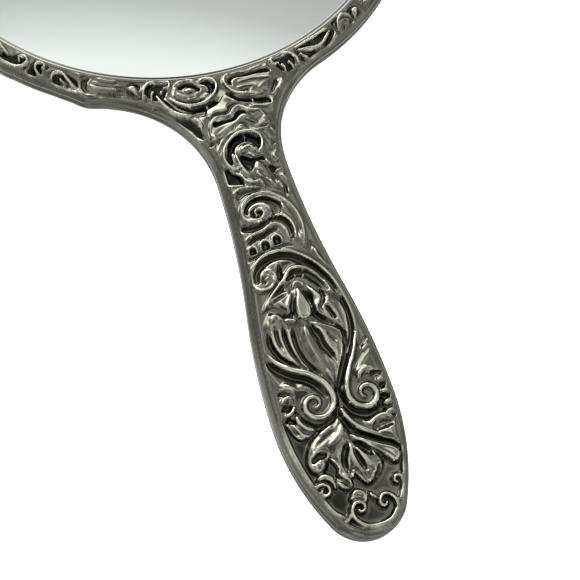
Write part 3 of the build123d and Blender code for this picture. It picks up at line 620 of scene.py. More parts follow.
def neck(f):
    """The neck: a small C-scroll with leaves below, and a mantling with a wavy edge above."""
    # Mantling: a field inside a wavy edge that curls at its left end.
    f.leaf([(-7.4, 3.8), (-7.3, 6.2), (-6.6, 8.4), (-5.4, 10.1), (-4.0, 10.6), (-2.6, 10.2), (-1.5, 10.5),
        (-0.7, 11.7), (0.5, 12.3), (1.8, 12.0), (2.8, 10.9), (4.1, 10.1), (5.7, 9.9), (6.6, 8.7),
        (7.2, 6.0), (7.0, 2.4), (4.8, 3.0), (0, 5.6), (-4.8, 3.4)], 0.75, 0.7)
    f.well([(-5.7, 8.3), (-4.6, 9.0), (-2.6, 8.7), (-1.1, 8.8), (0.0, 9.9), (1.2, 10.6), (2.1, 10.1),
        (2.9, 9.1), (4.4, 8.6), (3.2, 8.4), (1.8, 9.0), (0.8, 8.8), (-0.6, 7.9), (-2.8, 7.7), (-5.0, 7.2),
        (-5.9, 7.4)], -1.25, 0.35)
    edge = [(-7.0, 4.8), (-6.9, 6.8), (-6.0, 8.7), (-4.7, 9.6), (-2.7, 9.4), (-1.3, 9.7), (-0.3, 10.8),
        (0.8, 11.5), (1.9, 11.2), (3.0, 10.0), (4.4, 9.3), (5.7, 9.2), (6.2, 8.0), (6.5, 6.2)]
    f.ridge(edge, 0.36, 1.35, ends=(0.6, 0.6))
    f.ridge([(5.7, 9.0), (6.3, 7.8), (6.3, 6.4)], 0.6, 1.1)
    f.ridge([(-6.4, 4.4), (-4.4, 5.5), (-2.2, 6.6), (-0.2, 7.5)], 0.6, 0.95)
    f.leaf([(0.3, 7.9), (1.6, 8.4), (3.6, 7.8), (4.8, 6.6), (4.2, 5.4), (2.6, 5.8), (1.4, 7.0)], 1.05, 0.9)
    f.ridge([(-6.7, 5.4), (-6.4, 4.3), (-7.1, 3.4)], 0.5, 1.2)
    f.pit([(-8.1, 2.7), (-7.6, 3.8), (-6.6, 4.1), (-6.2, 3.6), (-7.1, 3.0)], 0.9, 0.3)
    f.ridge([(3.6, 4.8), (5.2, 5.4), (6.6, 4.8)], 0.3, 0.6)
    f.pit([(3.4, 4.6), (5.4, 5.1), (7.0, 4.7), (5.2, 4.4)], 0.7, 0.3)
    f.leaf([(4.4, 3.6), (6.4, 4.1), (7.5, 3.0), (7.1, 0.8), (5.8, 0.0), (5.0, 1.6)], 0.85, 0.9)
    f.ridge([(6.7, 4.1), (7.2, 2.7), (6.8, 1.4)], 0.42, 1.15)
    f.pit([(4.2, 3.6), (5.0, 2.1), (5.8, 0.4), (7.2, 0.0), (6.2, -0.4), (5.2, 0.2), (4.4, 1.8)], 0.65, 0.3)
    # Fan on top of the scroll.
    f.leaf([(-2.2, 4.4), (-1.6, 6.1), (-0.4, 6.9), (0.8, 6.8), (1.9, 5.9), (2.4, 4.6), (0.1, 4.2)],
        1.0, 0.9)
    f.cut([(-2.0, 4.6), (-1.4, 6.1), (0.1, 6.7), (1.5, 6.1), (2.2, 4.7)], 0.22, 0.3)
    f.ridge([(-0.5, 6.1), (0.4, 6.0), (0.8, 5.4)], 0.26, 1.35)
    f.ridge([(-0.4, 5.3), (0.4, 5.2)], 0.22, 1.25)

    # Small scroll, inside a smooth ring.
    ring = [(-7.2, -1.2), (-6.7, 0.6), (-5.4, 2.8), (-3.4, 4.3), (-1.0, 4.9), (1.6, 4.8), (3.8, 3.6),
        (5.0, 1.4), (5.1, -1.0), (4.3, -3.2)]
    f.ridge(ring, 0.75, 0.85, sharp=0.9)
    f.well([(-5.0, -0.6), (-4.2, 1.4), (-2.4, 3.2), (0.0, 3.8), (2.0, 3.3), (3.2, 1.9), (3.1, 0.0),
        (2.3, -1.0), (2.2, 0.3), (1.4, 1.6), (-0.2, 2.1), (-1.9, 1.5), (-3.0, 0.2), (-3.7, -2.4),
        (-4.2, -3.4), (-5.1, -2.4)], DEEP, 0.35)
    f.leaf([(-4.4, -1.0), (-3.8, 0.2), (-3.2, -0.6), (-3.2, -2.6), (-3.6, -4.2), (-4.5, -3.2)], 0.55, 0.6)
    scroll = [(-3.2, -4.2), (-3.7, -4.8), (-4.7, -4.3), (-5.5, -3.1), (-5.9, -1.4), (-5.6, 0.3),
        (-4.6, 1.9), (-3.0, 3.3), (-1.2, 4.1), (0.7, 4.2), (2.3, 3.8), (3.4, 2.9), (3.8, 1.6), (3.5, 0.1),
        (3.0, -0.9), (2.2, -1.5)]
    f.ridge(scroll, 0.44, 1.5, ends=(0.6, 0.8))
    f.ridge([(0.2, 3.4), (0.2, 2.6)], 0.2, 1.0)
    f.leaf([(-2.9, -0.5), (-2.0, 1.0), (-0.2, 1.7), (1.4, 1.2), (2.1, -0.2), (1.8, -1.4), (0.9, -2.3),
        (0.0, -1.5), (-1.2, -1.0), (-2.2, -1.4)], 1.1, 1.1)
    f.cut([(-1.9, -0.4), (-0.9, 0.7), (0.3, 1.1), (1.3, 0.7)], 0.22, 0.35)
    f.ridge([(-0.7, 0.2), (0.3, 0.3), (1.2, -0.2)], 0.3, 1.55)
    f.ridge([(-0.7, -1.3), (0.1, -1.6), (1.0, -2.6)], 0.28, 1.45)
    f.well([(-2.1, -1.2), (-0.7, -1.9), (0.3, -2.7), (2.9, -2.6), (2.9, -3.8), (1.2, -3.3), (0.3, -3.8),
        (-0.3, -5.2), (-0.9, -6.0), (-1.9, -4.6), (-2.4, -2.8)], DEEP, 0.3)
    f.leaf([(-3.4, -4.8), (-2.4, -5.8), (-1.2, -7.4), (-0.6, -8.4), (0.2, -8.8), (1.0, -10.6), (-0.6, -9.4),
        (-2.2, -9.0), (-3.0, -7.8), (-4.0, -5.9)], 0.7, 0.5)
    f.ridge([(-3.1, -0.3), (-3.1, -2.2), (-2.8, -4.2), (-2.3, -5.8), (-1.6, -7.0), (-0.9, -7.8)], 0.4, 1.5)
    f.well([(-6.1, -3.6), (-5.1, -5.1), (-4.0, -6.4), (-3.5, -7.9), (-3.3, -8.8), (-5.0, -8.4),
        (-7.0, -7.6), (-7.6, -6.4), (-7.3, -5.0)], DEEP, 0.3)
    f.ridge([(-4.2, -5.6), (-3.3, -6.7), (-2.9, -7.9), (-2.1, -8.7), (-0.9, -9.1), (0.2, -8.8), (0.6, -9.5),
        (1.0, -10.6)], 0.3, 1.4, ends=(0.6, 0.6))

    # Leaves that fall from the scroll.
    f.leaf([(0.2, -3.7), (1.4, -3.5), (2.4, -4.6), (3.0, -7.0), (3.8, -10.2), (4.8, -13.0), (3.0, -11.6),
        (1.6, -9.6), (0.2, -7.6), (-0.4, -5.8)], 0.95, 0.9)
    f.leaf([(0.5, -4.0), (1.2, -4.1), (1.3, -5.4), (0.7, -5.6)], 1.35, 0.5)
    f.ridge([(0.1, -6.4), (0.5, -7.4), (1.2, -8.3)], 0.3, 1.3)
    f.ridge([(1.7, -8.3), (2.3, -9.2), (2.9, -10.2)], 0.3, 1.3)
    f.cut([(0.7, -6.6), (1.8, -8.2), (2.8, -9.6)], 0.22, 0.35)
    f.ridge([(3.9, -9.8), (4.4, -10.9), (4.9, -12.0)], 0.3, 1.2)
    f.leaf([(5.0, -2.0), (6.4, -1.6), (7.0, -3.2), (6.7, -4.9), (5.6, -5.3), (4.7, -4.2), (4.6, -3.0)],
        0.85, 0.8)
    f.well([(3.2, -5.4), (4.2, -5.4), (5.0, -6.3), (6.0, -6.6), (4.6, -7.2), (3.8, -7.6), (3.3, -6.6)],
        -1.2, 0.3)
    f.ridge([(3.0, -3.7), (3.3, -4.5), (3.9, -5.2)], 0.3, 1.35)
    f.ridge([(4.2, -7.3), (5.0, -7.1), (5.9, -6.8)], 0.28, 1.1)
    f.ridge([(5.0, -7.6), (5.9, -9.2), (6.1, -11.6), (5.5, -14.2)], 0.5, 0.8)
    f.cut([(3.9, -7.6), (4.6, -9.4), (5.2, -11.6), (5.0, -14.0)], 0.3, 0.5)

    # The band under them.
    f.ridge([(-8.2, -7.7), (-6.6, -8.2), (-4.8, -8.8), (-3.0, -9.3)], 0.36, 0.75)
    f.pit([(-6.0, -10.4), (-4.0, -10.3), (-1.4, -10.7), (1.0, -11.1), (-1.2, -11.3), (-4.0, -11.5),
        (-5.8, -12.2)], 0.3, 0.3)
    f.ridge([(-6.2, -11.9), (-6.2, -10.5), (-5.2, -9.8), (-3.4, -9.8), (-1.6, -10.2), (0.2, -10.5)],
        0.28, 1.2)
    for x, y in ((-7.1, -10.8), (-6.9, -13.0)):
        f.pit([(x - 0.4, y), (x, y + 0.4), (x + 0.4, y), (x, y - 0.4)], 0.7, 0.3)


def shoulders(f):
    """Where the neck meets the rim: the eye-shaped cartouche, the shell-shaped one, and their frames."""
    # Dark channels: outside the long frame line, between it and the eye, and under the shell.
    f.well([(-17.6, 0.5), (-16.2, -0.3), (-14.7, -2.0), (-13.0, -3.9), (-11.6, -5.1), (-10.0, -5.8),
        (-9.2, -7.2), (-8.7, -9.2), (-8.5, -11.8), (-9.6, -10.8), (-10.8, -8.6), (-12.1, -6.4),
        (-13.9, -4.2), (-15.6, -2.3), (-17.2, -0.6)], DEEP, 0.25)
    f.well([(-15.9, 3.5), (-14.9, 2.6), (-13.4, 0.6), (-12.0, -1.4), (-10.0, -2.9), (-7.8, -3.4),
        (-5.4, -2.9), (-3.6, -2.2), (-3.0, -2.9), (-4.4, -3.9), (-6.6, -4.5), (-9.4, -4.5), (-11.4, -4.3),
        (-13.2, -3.0), (-14.6, -0.8), (-15.6, 1.4)], DEEP, 0.35)
    f.well([(-0.2, -0.6), (0.6, -1.3), (2.0, -2.8), (4.2, -3.6), (6.6, -4.0), (8.8, -4.3), (9.2, -6.2),
        (7.2, -5.9), (4.8, -5.0), (2.2, -4.1), (0.4, -2.6)], DEEP, 0.35)
    # Long frame line, with the small curl at its end.
    f.ridge([(-16.2, 2.6), (-15.7, 1.0), (-14.6, -1.1), (-13.2, -3.0), (-12.0, -4.2), (-10.5, -4.9),
        (-8.9, -5.1)], 0.38, 1.4, ends=(0.7, 0.4))
    f.ridge([(-15.0, 2.6), (-13.9, 0.4), (-12.6, -1.8), (-11.2, -3.3), (-9.4, -4.0)], 0.22, 0.55)
    f.ridge([(-10.2, -5.7), (-8.9, -6.7), (-8.4, -8.2), (-8.7, -9.4)], 0.34, 1.35)
    f.leaf([(-8.2, -5.6), (-5.8, -6.0), (-7.0, -7.8), (-7.8, -10.4), (-8.6, -10.4), (-8.1, -8.2)], 0.6, 0.7)

    # Eye.
    f.leaf([(-12.6, 2.6), (-11.2, 4.5), (-8.8, 5.1), (-6.6, 4.4), (-4.6, 4.4), (-2.4, 3.4), (-1.9, 1.4),
        (-3.0, -0.8), (-5.4, -2.4), (-8.0, -2.9), (-10.6, -2.0), (-12.6, 0.0)], 0.5, 0.5)
    f.well([(-4.9, 3.7), (-3.4, 3.5), (-2.6, 2.4), (-2.8, 1.0), (-3.9, -0.2), (-4.6, 0.4), (-4.0, 1.6),
        (-4.6, 2.6), (-5.6, 3.1)], -1.2, 0.35)
    f.well([(-10.9, 3.6), (-9.6, 4.2), (-7.8, 4.1), (-6.4, 3.1), (-5.8, 1.8), (-6.6, 1.1), (-7.6, 2.6),
        (-9.2, 3.1), (-10.4, 2.5)], -1.25, 0.35)
    f.cut([(-12.3, 1.2), (-11.2, -0.4), (-9.6, -1.4), (-7.6, -1.8), (-5.4, -1.3)], 0.34, 0.6)
    f.ridge([(-13.4, 1.0), (-12.4, -0.4), (-11.2, -1.6), (-9.8, -2.4), (-8.0, -2.8), (-6.0, -2.4),
        (-4.1, -1.4), (-2.7, 0.0), (-2.0, 1.6), (-2.2, 3.0), (-3.2, 3.9), (-4.8, 4.2), (-5.8, 3.8)],
        0.42, 1.45, ends=(0.6, 0.5))
    f.ridge([(-11.8, 3.8), (-10.5, 4.6), (-8.8, 4.9), (-7.2, 4.5), (-6.2, 3.5)], 0.33, 1.25)
    f.leaf([(-10.2, 2.0), (-9.2, 2.9), (-7.8, 2.7), (-7.0, 1.8), (-7.6, 0.9), (-9.2, 0.8)], 1.15, 0.9)
    f.ridge([(-11.5, 2.6), (-10.9, 1.2), (-9.4, 0.2), (-7.6, 0.1), (-6.2, 1.1)], 0.28, 1.15)
    f.ridge([(-9.8, -0.3), (-8.2, -0.6), (-6.6, 0.0)], 0.3, 1.05)
    f.leaf([(-5.6, -0.2), (-4.6, 0.3), (-4.0, -0.3), (-4.8, -0.9)], 1.1, 0.5)
    f.ridge([(-5.4, 4.4), (-3.4, 4.6), (-1.6, 4.4)], 0.26, 0.95)

    # Shell.
    f.leaf([(0.2, 1.6), (0.6, 3.6), (2.4, 4.3), (5.6, 4.1), (9.4, 4.8), (11.6, 5.1), (12.0, 1.6),
        (11.0, -1.2), (9.2, -3.4), (6.0, -3.0), (3.0, -2.3), (1.0, -0.8)], 0.5, 0.8)
    f.well([(0.9, 2.8), (2.4, 3.6), (4.6, 3.3), (7.4, 3.5), (10.6, 3.8), (11.6, 3.2), (11.2, 2.2),
        (8.4, 2.5), (5.2, 2.5), (3.0, 2.7), (1.8, 2.0), (1.6, 0.6), (1.0, 1.2)], -1.2, 0.35)
    f.ridge([(1.6, 4.0), (0.5, 3.5), (0.0, 2.2), (0.3, 0.6), (1.2, -1.0), (2.5, -2.0), (4.2, -2.6),
        (6.2, -2.9), (8.2, -3.2)], 0.42, 1.45, ends=(0.5, 0.5))
    f.ridge([(1.8, 4.0), (4.0, 4.0), (5.8, 3.8), (8.0, 4.3), (11.0, 4.8)], 0.26, 1.0)
    f.leaf([(2.6, 1.4), (5.0, 2.1), (8.0, 2.0), (11.2, 1.4), (11.6, 0.4), (9.4, 0.2), (6.8, 0.8),
        (4.0, 0.7)], 1.1, 0.8)
    f.leaf([(2.2, 0.0), (4.0, 0.4), (6.2, 0.0), (6.8, -1.0), (4.6, -0.8), (3.0, -0.8)], 0.95, 0.5)
    f.pit([(2.4, -1.0), (3.6, -1.2), (5.4, -1.2), (5.2, -1.9), (3.4, -1.8)], 0.5, 0.3)
    f.ridge([(7.2, -2.0), (8.6, -0.8), (10.4, 0.1)], 0.5, 0.8)
    f.cut([(12.3, 0.2), (11.2, -1.8), (10.2, -3.4)], 0.5, 0.6)
    f.leaf([(12.9, -0.2), (14.0, 0.0), (13.8, -1.6), (12.6, -3.0), (11.6, -3.6), (11.8, -2.2)], 1.0, 0.7)
    # The plain triangle between the two.
    plain = [(-6.6, -5.2), (-3.6, -3.6), (-1.6, -1.6), (-0.7, -0.4), (0.2, -2.0), (1.8, -4.2), (0.6, -4.7),
        (-0.8, -5.2), (-1.8, -6.5), (-4.6, -6.6), (-6.2, -7.4)]
    f.leaf(plain, 0.45, 0.6)
    f.tilt(plain, (-0.9, -0.8), (-2.9, -6.4), 1.15, 0.4)
    f.ridge([(3.8, -5.9), (6.2, -6.5), (8.6, -7.2)], 0.5, 0.8)
    f.ridge([(-5.9, -3.4), (-5.6, -4.2)], 0.3, 1.0)
    f.ridge([(5.0, -4.1), (5.2, -5.0)], 0.25, 0.8)


ARC_R = 64.0
RING_BASE = 62.6
RING_SCALE = 0.9


def on_ring(shift, flip):
    """Places ring strokes on the rim. They are drawn as (millimetres round from the handle, radius)."""

    def place(q):
        a = (shift + flip * q[:, 0]) / ARC_R
        r = RING_BASE + RING_SCALE * (q[:, 1] - RING_BASE)
        return np.stack([r * np.sin(a), -r * np.cos(a)], 1)

    return place


def ring_hook(f):
    """A hooked volute beside the cartouche."""
    f.well([(13.4, 65.6), (14.2, 67.6), (16.4, 68.0), (18.0, 66.4), (18.0, 64.4), (16.8, 63.2),
        (14.8, 62.9), (13.4, 63.4), (13.0, 64.4)], -1.2, 0.4)
    f.ridge([(18.2, 68.6), (18.7, 66.6), (18.5, 64.6), (17.2, 62.8), (15.2, 62.0), (13.6, 62.3),
        (12.7, 63.4), (13.0, 64.5), (14.1, 64.7)], 0.38, 1.35, ends=(0.6, 0.9))
    f.ridge([(14.3, 65.2), (14.8, 66.4), (14.5, 68.0)], 0.3, 1.2, ends=(0.5, 0.3))
    f.ridge([(16.6, 68.2), (16.9, 66.6), (16.2, 65.0)], 0.3, 1.0, ends=(0.3, 0.3))


def ring_bar(f):
    """A long bar with ribs, and the small leaf at its end."""
    f.pit([(23.0, 66.6), (27.0, 66.9), (31.6, 66.4), (33.2, 65.2), (33.2, 63.4), (31.6, 62.6), (31.4, 63.4),
        (31.8, 64.4), (31.0, 65.6), (27.0, 66.1), (23.6, 65.8)], 0.8, 0.35)
    f.ridge([(31.6, 64.6), (29.2, 65.2), (26.4, 65.3), (23.8, 64.9)], 0.32, 1.15, ends=(0.3, 0.3))
    f.ridge([(31.2, 63.8), (28.6, 64.2), (26.0, 64.3), (23.6, 64.1)], 0.26, 0.95, ends=(0.3, 0.3))
    f.ridge([(30.2, 62.9), (27.6, 63.2), (24.6, 63.1)], 0.26, 0.95, ends=(0.3, 0.3))
    f.well([(18.9, 67.6), (20.6, 67.0), (22.2, 65.9), (22.8, 64.4), (21.8, 63.2), (20.2, 63.0),
        (19.4, 63.8), (19.6, 65.6)], -1.0, 0.4)
    f.leaf([(22.7, 64.5), (21.6, 65.7), (19.6, 67.0), (19.7, 65.4), (20.4, 63.9), (21.6, 63.6)], 0.8, 0.6)
    f.ridge([(22.4, 64.7), (21.2, 65.2), (19.8, 66.4)], 0.26, 1.15)


def ring_wave(f):
    """A small leaf like a breaking wave."""
    f.well([(33.4, 66.2), (35.6, 66.9), (38.8, 66.8), (40.6, 65.8), (40.4, 63.9), (38.2, 63.1),
        (35.8, 63.8), (34.0, 64.6)], -1.2, 0.4)
    f.ridge([(40.0, 66.4), (40.1, 65.0), (39.2, 63.9), (37.8, 63.9), (36.6, 64.7), (35.2, 65.6),
        (33.6, 66.0)], 0.42, 1.35, ends=(0.5, 0.4))
    f.ridge([(38.6, 65.0), (37.4, 65.6), (36.0, 66.2)], 0.26, 0.85, ends=(0.3, 0.3))
    f.leaf([(33.6, 63.6), (35.8, 63.0), (38.0, 62.4), (36.0, 62.1), (33.4, 62.4)], 0.75, 0.5)


def ring_pair(f):
    """Two small C-scrolls back to back."""
    f.well([(41.4, 66.6), (44.6, 66.9), (46.0, 66.6), (45.8, 64.6), (44.9, 62.8), (42.8, 62.6),
        (41.4, 63.6), (42.8, 64.6), (42.4, 65.6)], -1.25, 0.4)
    f.ridge([(40.2, 66.6), (42.0, 66.4), (43.6, 65.7), (44.5, 64.6), (44.3, 63.3), (43.2, 62.9),
        (42.5, 63.6), (43.0, 64.2)], 0.4, 1.35, ends=(0.4, 0.8))
    f.well([(46.6, 66.2), (48.4, 66.0), (50.4, 66.0), (53.4, 65.6), (53.6, 64.4), (51.4, 63.9),
        (50.2, 62.9), (48.4, 62.4), (46.8, 62.8), (46.2, 64.4)], -1.25, 0.4)
    f.ridge([(55.0, 66.0), (52.6, 66.6), (50.0, 66.5), (48.0, 65.9), (46.9, 64.7), (47.1, 63.5),
        (48.2, 63.0), (49.1, 63.6), (48.8, 64.5)], 0.4, 1.35, ends=(0.3, 0.8))
    f.ridge([(56.4, 62.9), (54.2, 63.3), (51.8, 64.4)], 0.42, 1.15, ends=(0.3, 0.3))


def ring_slip(f):
    """A long pointed leaf with a raised edge."""
    f.well([(19.8, 66.9), (23.0, 67.1), (27.0, 67.0), (31.0, 65.4), (31.6, 63.6), (29.0, 62.4),
        (22.0, 62.4), (19.6, 63.0), (19.5, 65.0)], -1.1, 0.4)
    f.leaf([(20.0, 63.4), (23.6, 63.4), (27.0, 63.5), (30.8, 63.5), (29.4, 62.4), (24.0, 62.2),
        (19.8, 62.5)], 0.85, 0.6)
    f.ridge([(20.2, 63.8), (22.4, 64.8), (24.6, 65.5), (26.4, 65.6), (28.4, 64.9), (30.8, 63.8)],
        0.38, 1.35, ends=(0.6, 0.4))
    f.ridge([(19.2, 62.9), (22.0, 62.8), (26.0, 62.9), (30.4, 63.1)], 0.34, 1.2)
    f.ridge([(20.0, 64.6), (20.5, 65.8), (21.8, 66.8)], 0.34, 1.2)


def ring_lobes(f):
    """Two soft lobes and a bead."""
    f.well([(31.8, 67.0), (35.0, 67.2), (38.4, 66.6), (38.4, 63.4), (35.6, 62.4), (32.2, 62.4),
        (31.6, 64.6)], -0.8, 0.4)
    f.leaf([(31.8, 66.4), (32.8, 64.4), (34.6, 63.3), (36.4, 63.8), (37.0, 65.6), (34.8, 66.8)], 0.75, 1.1)
    f.ridge([(32.0, 66.4), (32.7, 64.7), (34.0, 63.4), (35.8, 63.1), (37.0, 64.2), (37.2, 65.6)],
        0.32, 1.25)
    f.ridge([(33.0, 62.4), (35.0, 62.4), (37.2, 62.8)], 0.32, 1.05)
    f.cut([(33.2, 66.2), (34.2, 65.2), (35.4, 64.8)], 0.4, 0.35)


def rim(f):
    """The band of ornament round the glass. Beyond what the neck holds, the motifs run round to the top."""
    plan = [
        (-1, 0, (ring_hook, ring_bar, ring_wave, ring_pair)),
        (1, 0, (ring_hook, ring_slip, ring_lobes)),
        (-1, 36, (ring_slip, ring_lobes)),
        (-1, 55, (ring_bar, ring_wave, ring_pair)),
        (-1, 93, (ring_slip, ring_lobes)),
        (-1, 112, (ring_bar, ring_wave, ring_pair)),
        (-1, 149, (ring_slip, ring_lobes)),
        (1, 18, (ring_bar, ring_wave, ring_pair)),
        (1, 56, (ring_slip, ring_lobes)),
        (1, 74, (ring_bar, ring_wave, ring_pair)),
        (1, 112, (ring_slip, ring_lobes)),
        (1, 130, (ring_bar, ring_wave)),
        (1, 150, (ring_slip, ring_lobes)),
        (-1, 147, (ring_pair,)),
        (1, 147, (ring_pair,)),
    ]
    for side, shift, motifs in plan:
        f.place = on_ring(side * shift, side)
        for motif in motifs:
            motif(f)


# --- Surfaces -------------------------------------------------------------------------------------


def to_handle(p):
    """0 on the rim, 1 on the handle."""
    return smoothstep(-60, -76, p[:, 1])


def carrier(p, d):
    """Height of the plain, smooth front at each point, from its inset."""
    k = to_handle(p)
    foot = RIM_FOOT_Z + (HANDLE_FOOT_Z - RIM_FOOT_Z) * k
    roll = RIM_ROLL + (HANDLE_ROLL - RIM_ROLL) * k
    u = np.clip(d / roll, 0, 1)
    z = foot + RISE * np.sqrt(1 - (1 - u) ** 2)
    half = np.interp(-p[:, 1], list(CROWN_HALF_WIDTHS), list(CROWN_HALF_WIDTHS.values()))
    across = np.clip(1 - (p[:, 0] / half) ** 2, 0, 1)
    along = np.clip(1 - ((p[:, 1] - CROWN_MIDDLE) / CROWN_REACH) ** 2, 0, 1)
    return z + CROWN_RISE * across * along


def ripple(p, d):
    """The neck was pressed less evenly than the rest, so its plain parts wave a little."""
    x, y = p.T
    wave = np.sin(1.25 * y + 1.3 * np.sin(0.55 * x + 0.4)) + 0.6 * np.sin(0.9 * x - 0.5 * y)
    return RIPPLE * wave * smoothstep(-102, -94, y) * smoothstep(-64, -70, y) * smoothstep(1.5, 3, d)


def border(p):
    """Width of the plain edge that the ornament stops at."""
    y = p[:, 1]
    wide = RIM_BORDER + (HANDLE_BORDER - RIM_BORDER) * to_handle(p)
    dip = smoothstep(-62, -66, y) * smoothstep(-84, -77, y)
    return wide * (1 - dip) + SHOULDER_BORDER * dip


def ornament(f):
    """All the strokes, in an order that lets later ones lie over earlier ones."""
    rim(f)
    groups = {
        SHOULDER_MIDDLE: shoulders,
        NECK_MIDDLE: neck,
        SCROLL_MIDDLE: handle_scrolls,
        FLOWER_MIDDLE: handle_flower,
        TIP_MIDDLE: handle_tip,
    }
    for middle, draw in groups.items():
        f.place = about(middle)
        draw(f)


def front_height(p):
    """Height of the front at each point, with its ornament, kept under the CAD's top."""
    d = inset_of(p)
    edge = border(p)
    f = Relief(p)
    f.h *= smoothstep(edge, edge + 1.6, d)
    ornament(f)
    sunk, raised = smoothstep(edge - 0.05, edge + 0.4, d), smoothstep(edge - 0.4, edge + 1.4, d)
    inner = np.where(f.h < 0, sunk, raised)
    ring_gap = smoothstep(WINDOW_R, WINDOW_R + 0.5, np.hypot(p[:, 0], p[:, 1]))
    z = carrier(p, d) + inner * np.maximum(f.h, 1.1 * DEEP) * (0.25 + 0.75 * ring_gap)
    z += ripple(p, d)
    return np.where(z > TOP_Z, TOP_Z + HEADROOM * np.tanh((z - TOP_Z) / HEADROOM), z)


def triangulate(loops, extra):
    """Triangles between closed loops, through extra points. Loop points come first and keep their order."""
    points, edges = [], []
    for loop in loops:
        first = len(points)
        points += [Vector(q) for q in loop]
        edges += [(first + i, first + (i + 1) % len(loop)) for i in range(len(loop))]
    rims = len(points)
    points += [Vector(q) for q in extra]
    verts, _, faces, _, _, _ = delaunay_2d_cdt(points, edges, [], 0, 1e-5)
    faces = np.array([f for f in faces if max(f) >= rims], int)
    return np.vstack([*loops, np.array([v[:] for v in verts[rims:]])]), faces


def lattice(step, least_inset, least_r):
    """A triangular lattice of points, well inside the outline and outside the window."""
    nx = int(2 * HEAD_R / step) + 2
    ny = int((HEAD_R - TIP_Y) / (step * 0.866)) + 2
    i, j = np.meshgrid(np.arange(nx), np.arange(ny))
    p = np.stack([(i + 0.5 * (j % 2)).ravel() * step - HEAD_R, j.ravel() * step * 0.866 + TIP_Y], 1)
    p = p[np.hypot(p[:, 0], p[:, 1]) >= least_r]
    return p[inset_of(p) > least_inset]


def swell(p):
    """The head's edge bulges a little at one place, and draws in beside it."""
    angle = np.degrees(np.arctan2(p[:, 0], -p[:, 1]))
    r = np.hypot(p[:, 0], p[:, 1])
    out = BULGE_RISE * np.exp(-(((angle - BULGE_ANGLE) / BULGE_WIDTH) ** 2))
    out -= 0.25 * BULGE_RISE * smoothstep(-33, -36, angle) * smoothstep(-47, -44, angle)
    out *= smoothstep(HEAD_R - 4, HEAD_R - 1, r) * (r < HEAD_R + 0.5) / np.maximum(r, 1)
    return p[:, :2] * (1 + out[:, None])


class Sheet:
    """Collects pieces of surface and welds them into one closed mesh."""

    def __init__(self):
        self.verts, self.faces, self.count = [], [], 0

    def add(self, verts, faces):
        """Takes in a piece of surface, whose faces count its own points."""
        self.verts.append(verts)
        self.faces.append(np.asarray(faces) + self.count)
        self.count += len(verts)

    def strip(self, a, b):
        """Triangles between two loops with the same number of points."""
        n = len(a)
        i = np.arange(n)
        j = (i + 1) % n
        faces = np.vstack([np.stack([i, j, j + n], 1), np.stack([i, j + n, i + n], 1)])
        self.add(np.vstack([a, b]), faces)

    def build(self, name):
        """Welds points in the same place, drops faces with no area, and makes the object."""
        verts = np.vstack(self.verts)
        verts[:, :2] = swell(verts)
        faces = np.vstack(self.faces)
        keys = np.round(verts * 1e4).astype(np.int64)
        _, first, back = np.unique(keys, axis=0, return_index=True, return_inverse=True)
        faces = back.reshape(-1)[faces]
        good = (faces[:, 0] != faces[:, 1]) & (faces[:, 1] != faces[:, 2]) & (faces[:, 0] != faces[:, 2])
        mesh = bpy.data.meshes.new(name)
        mesh.from_pydata((verts[first] * MM).tolist(), [], faces[good].tolist())
        mesh.polygons.foreach_set("use_smooth", np.ones(len(mesh.polygons), bool))
        obj = bpy.data.objects.new(name, mesh)
        bpy.context.scene.collection.objects.link(obj)
        return obj


def with_z(loop, z):
    """A loop in the plane lifted to a height, or to one for each point."""
    return np.column_stack([loop, np.broadcast_to(z, len(loop))])


def soften(z, faces):
    """Moves each height half way to its neighbours' mean, so that narrow ridges have no steps."""
    a, b = np.concatenate([faces, np.roll(faces, 1, 1), np.roll(faces, 2, 1)])[:, :2].T
    total = np.bincount(a, z[b], len(z)) + np.bincount(b, z[a], len(z))
    count = np.bincount(a, minlength=len(z)) + np.bincount(b, minlength=len(z))
    return 0.5 * z + 0.5 * total / np.maximum(count, 1)


def front_shell():
    """The front as one closed shell: the relief, a plain inside, and the edges that join them."""
    sheet = Sheet()
    edge = outline(0, EDGE_STEP)
    rings = [outline(d, EDGE_STEP) for d in (0.05, 0.15, 0.32, 0.55, 0.82, 1.12)]
    window = circle(WINDOW_R, EDGE_STEP)
    rings += [circle(WINDOW_R + d, EDGE_STEP) for d in (0.1, 0.28)]
    flat, faces = triangulate([edge, window], np.vstack([*rings, lattice(LATTICE, 1.3, WINDOW_R + 0.42)]))
    z = soften(front_height(flat), faces)
    sheet.add(np.column_stack([flat, z]), faces)
    z_edge, z_window = z[: len(edge)], z[len(edge) : len(edge) + len(window)]

    inner_edge = outline(SHEET, EDGE_STEP)
    inner_window = circle(WINDOW_R + SHEET, EDGE_STEP)
    near = [outline(SHEET + 0.5, EDGE_STEP), circle(WINDOW_R + SHEET + 0.4, EDGE_STEP)]
    near.append(lattice(1.5, SHEET + 1.2, WINDOW_R + SHEET + 0.8))
    flat, faces = triangulate([inner_edge, inner_window], np.vstack(near))
    z_in = carrier(flat, inset_of(flat)) - FRONT_GAP
    sheet.add(np.column_stack([flat, z_in]), faces[:, ::-1])
    a, b = len(inner_edge), len(inner_window)

    sheet.strip(with_z(edge, PARTING_Z), with_z(edge, z_edge))
    sheet.strip(with_z(inner_edge, PARTING_Z), with_z(edge, PARTING_Z))
    sheet.strip(with_z(inner_edge, z_in[:a]), with_z(inner_edge, PARTING_Z))
    sheet.strip(with_z(window, z_window), with_z(window, PARTING_Z))
    sheet.strip(with_z(window, PARTING_Z), with_z(inner_window, PARTING_Z))
    sheet.strip(with_z(inner_window, PARTING_Z), with_z(inner_window, z_in[a : a + b]))
    return sheet.build("front_relief")


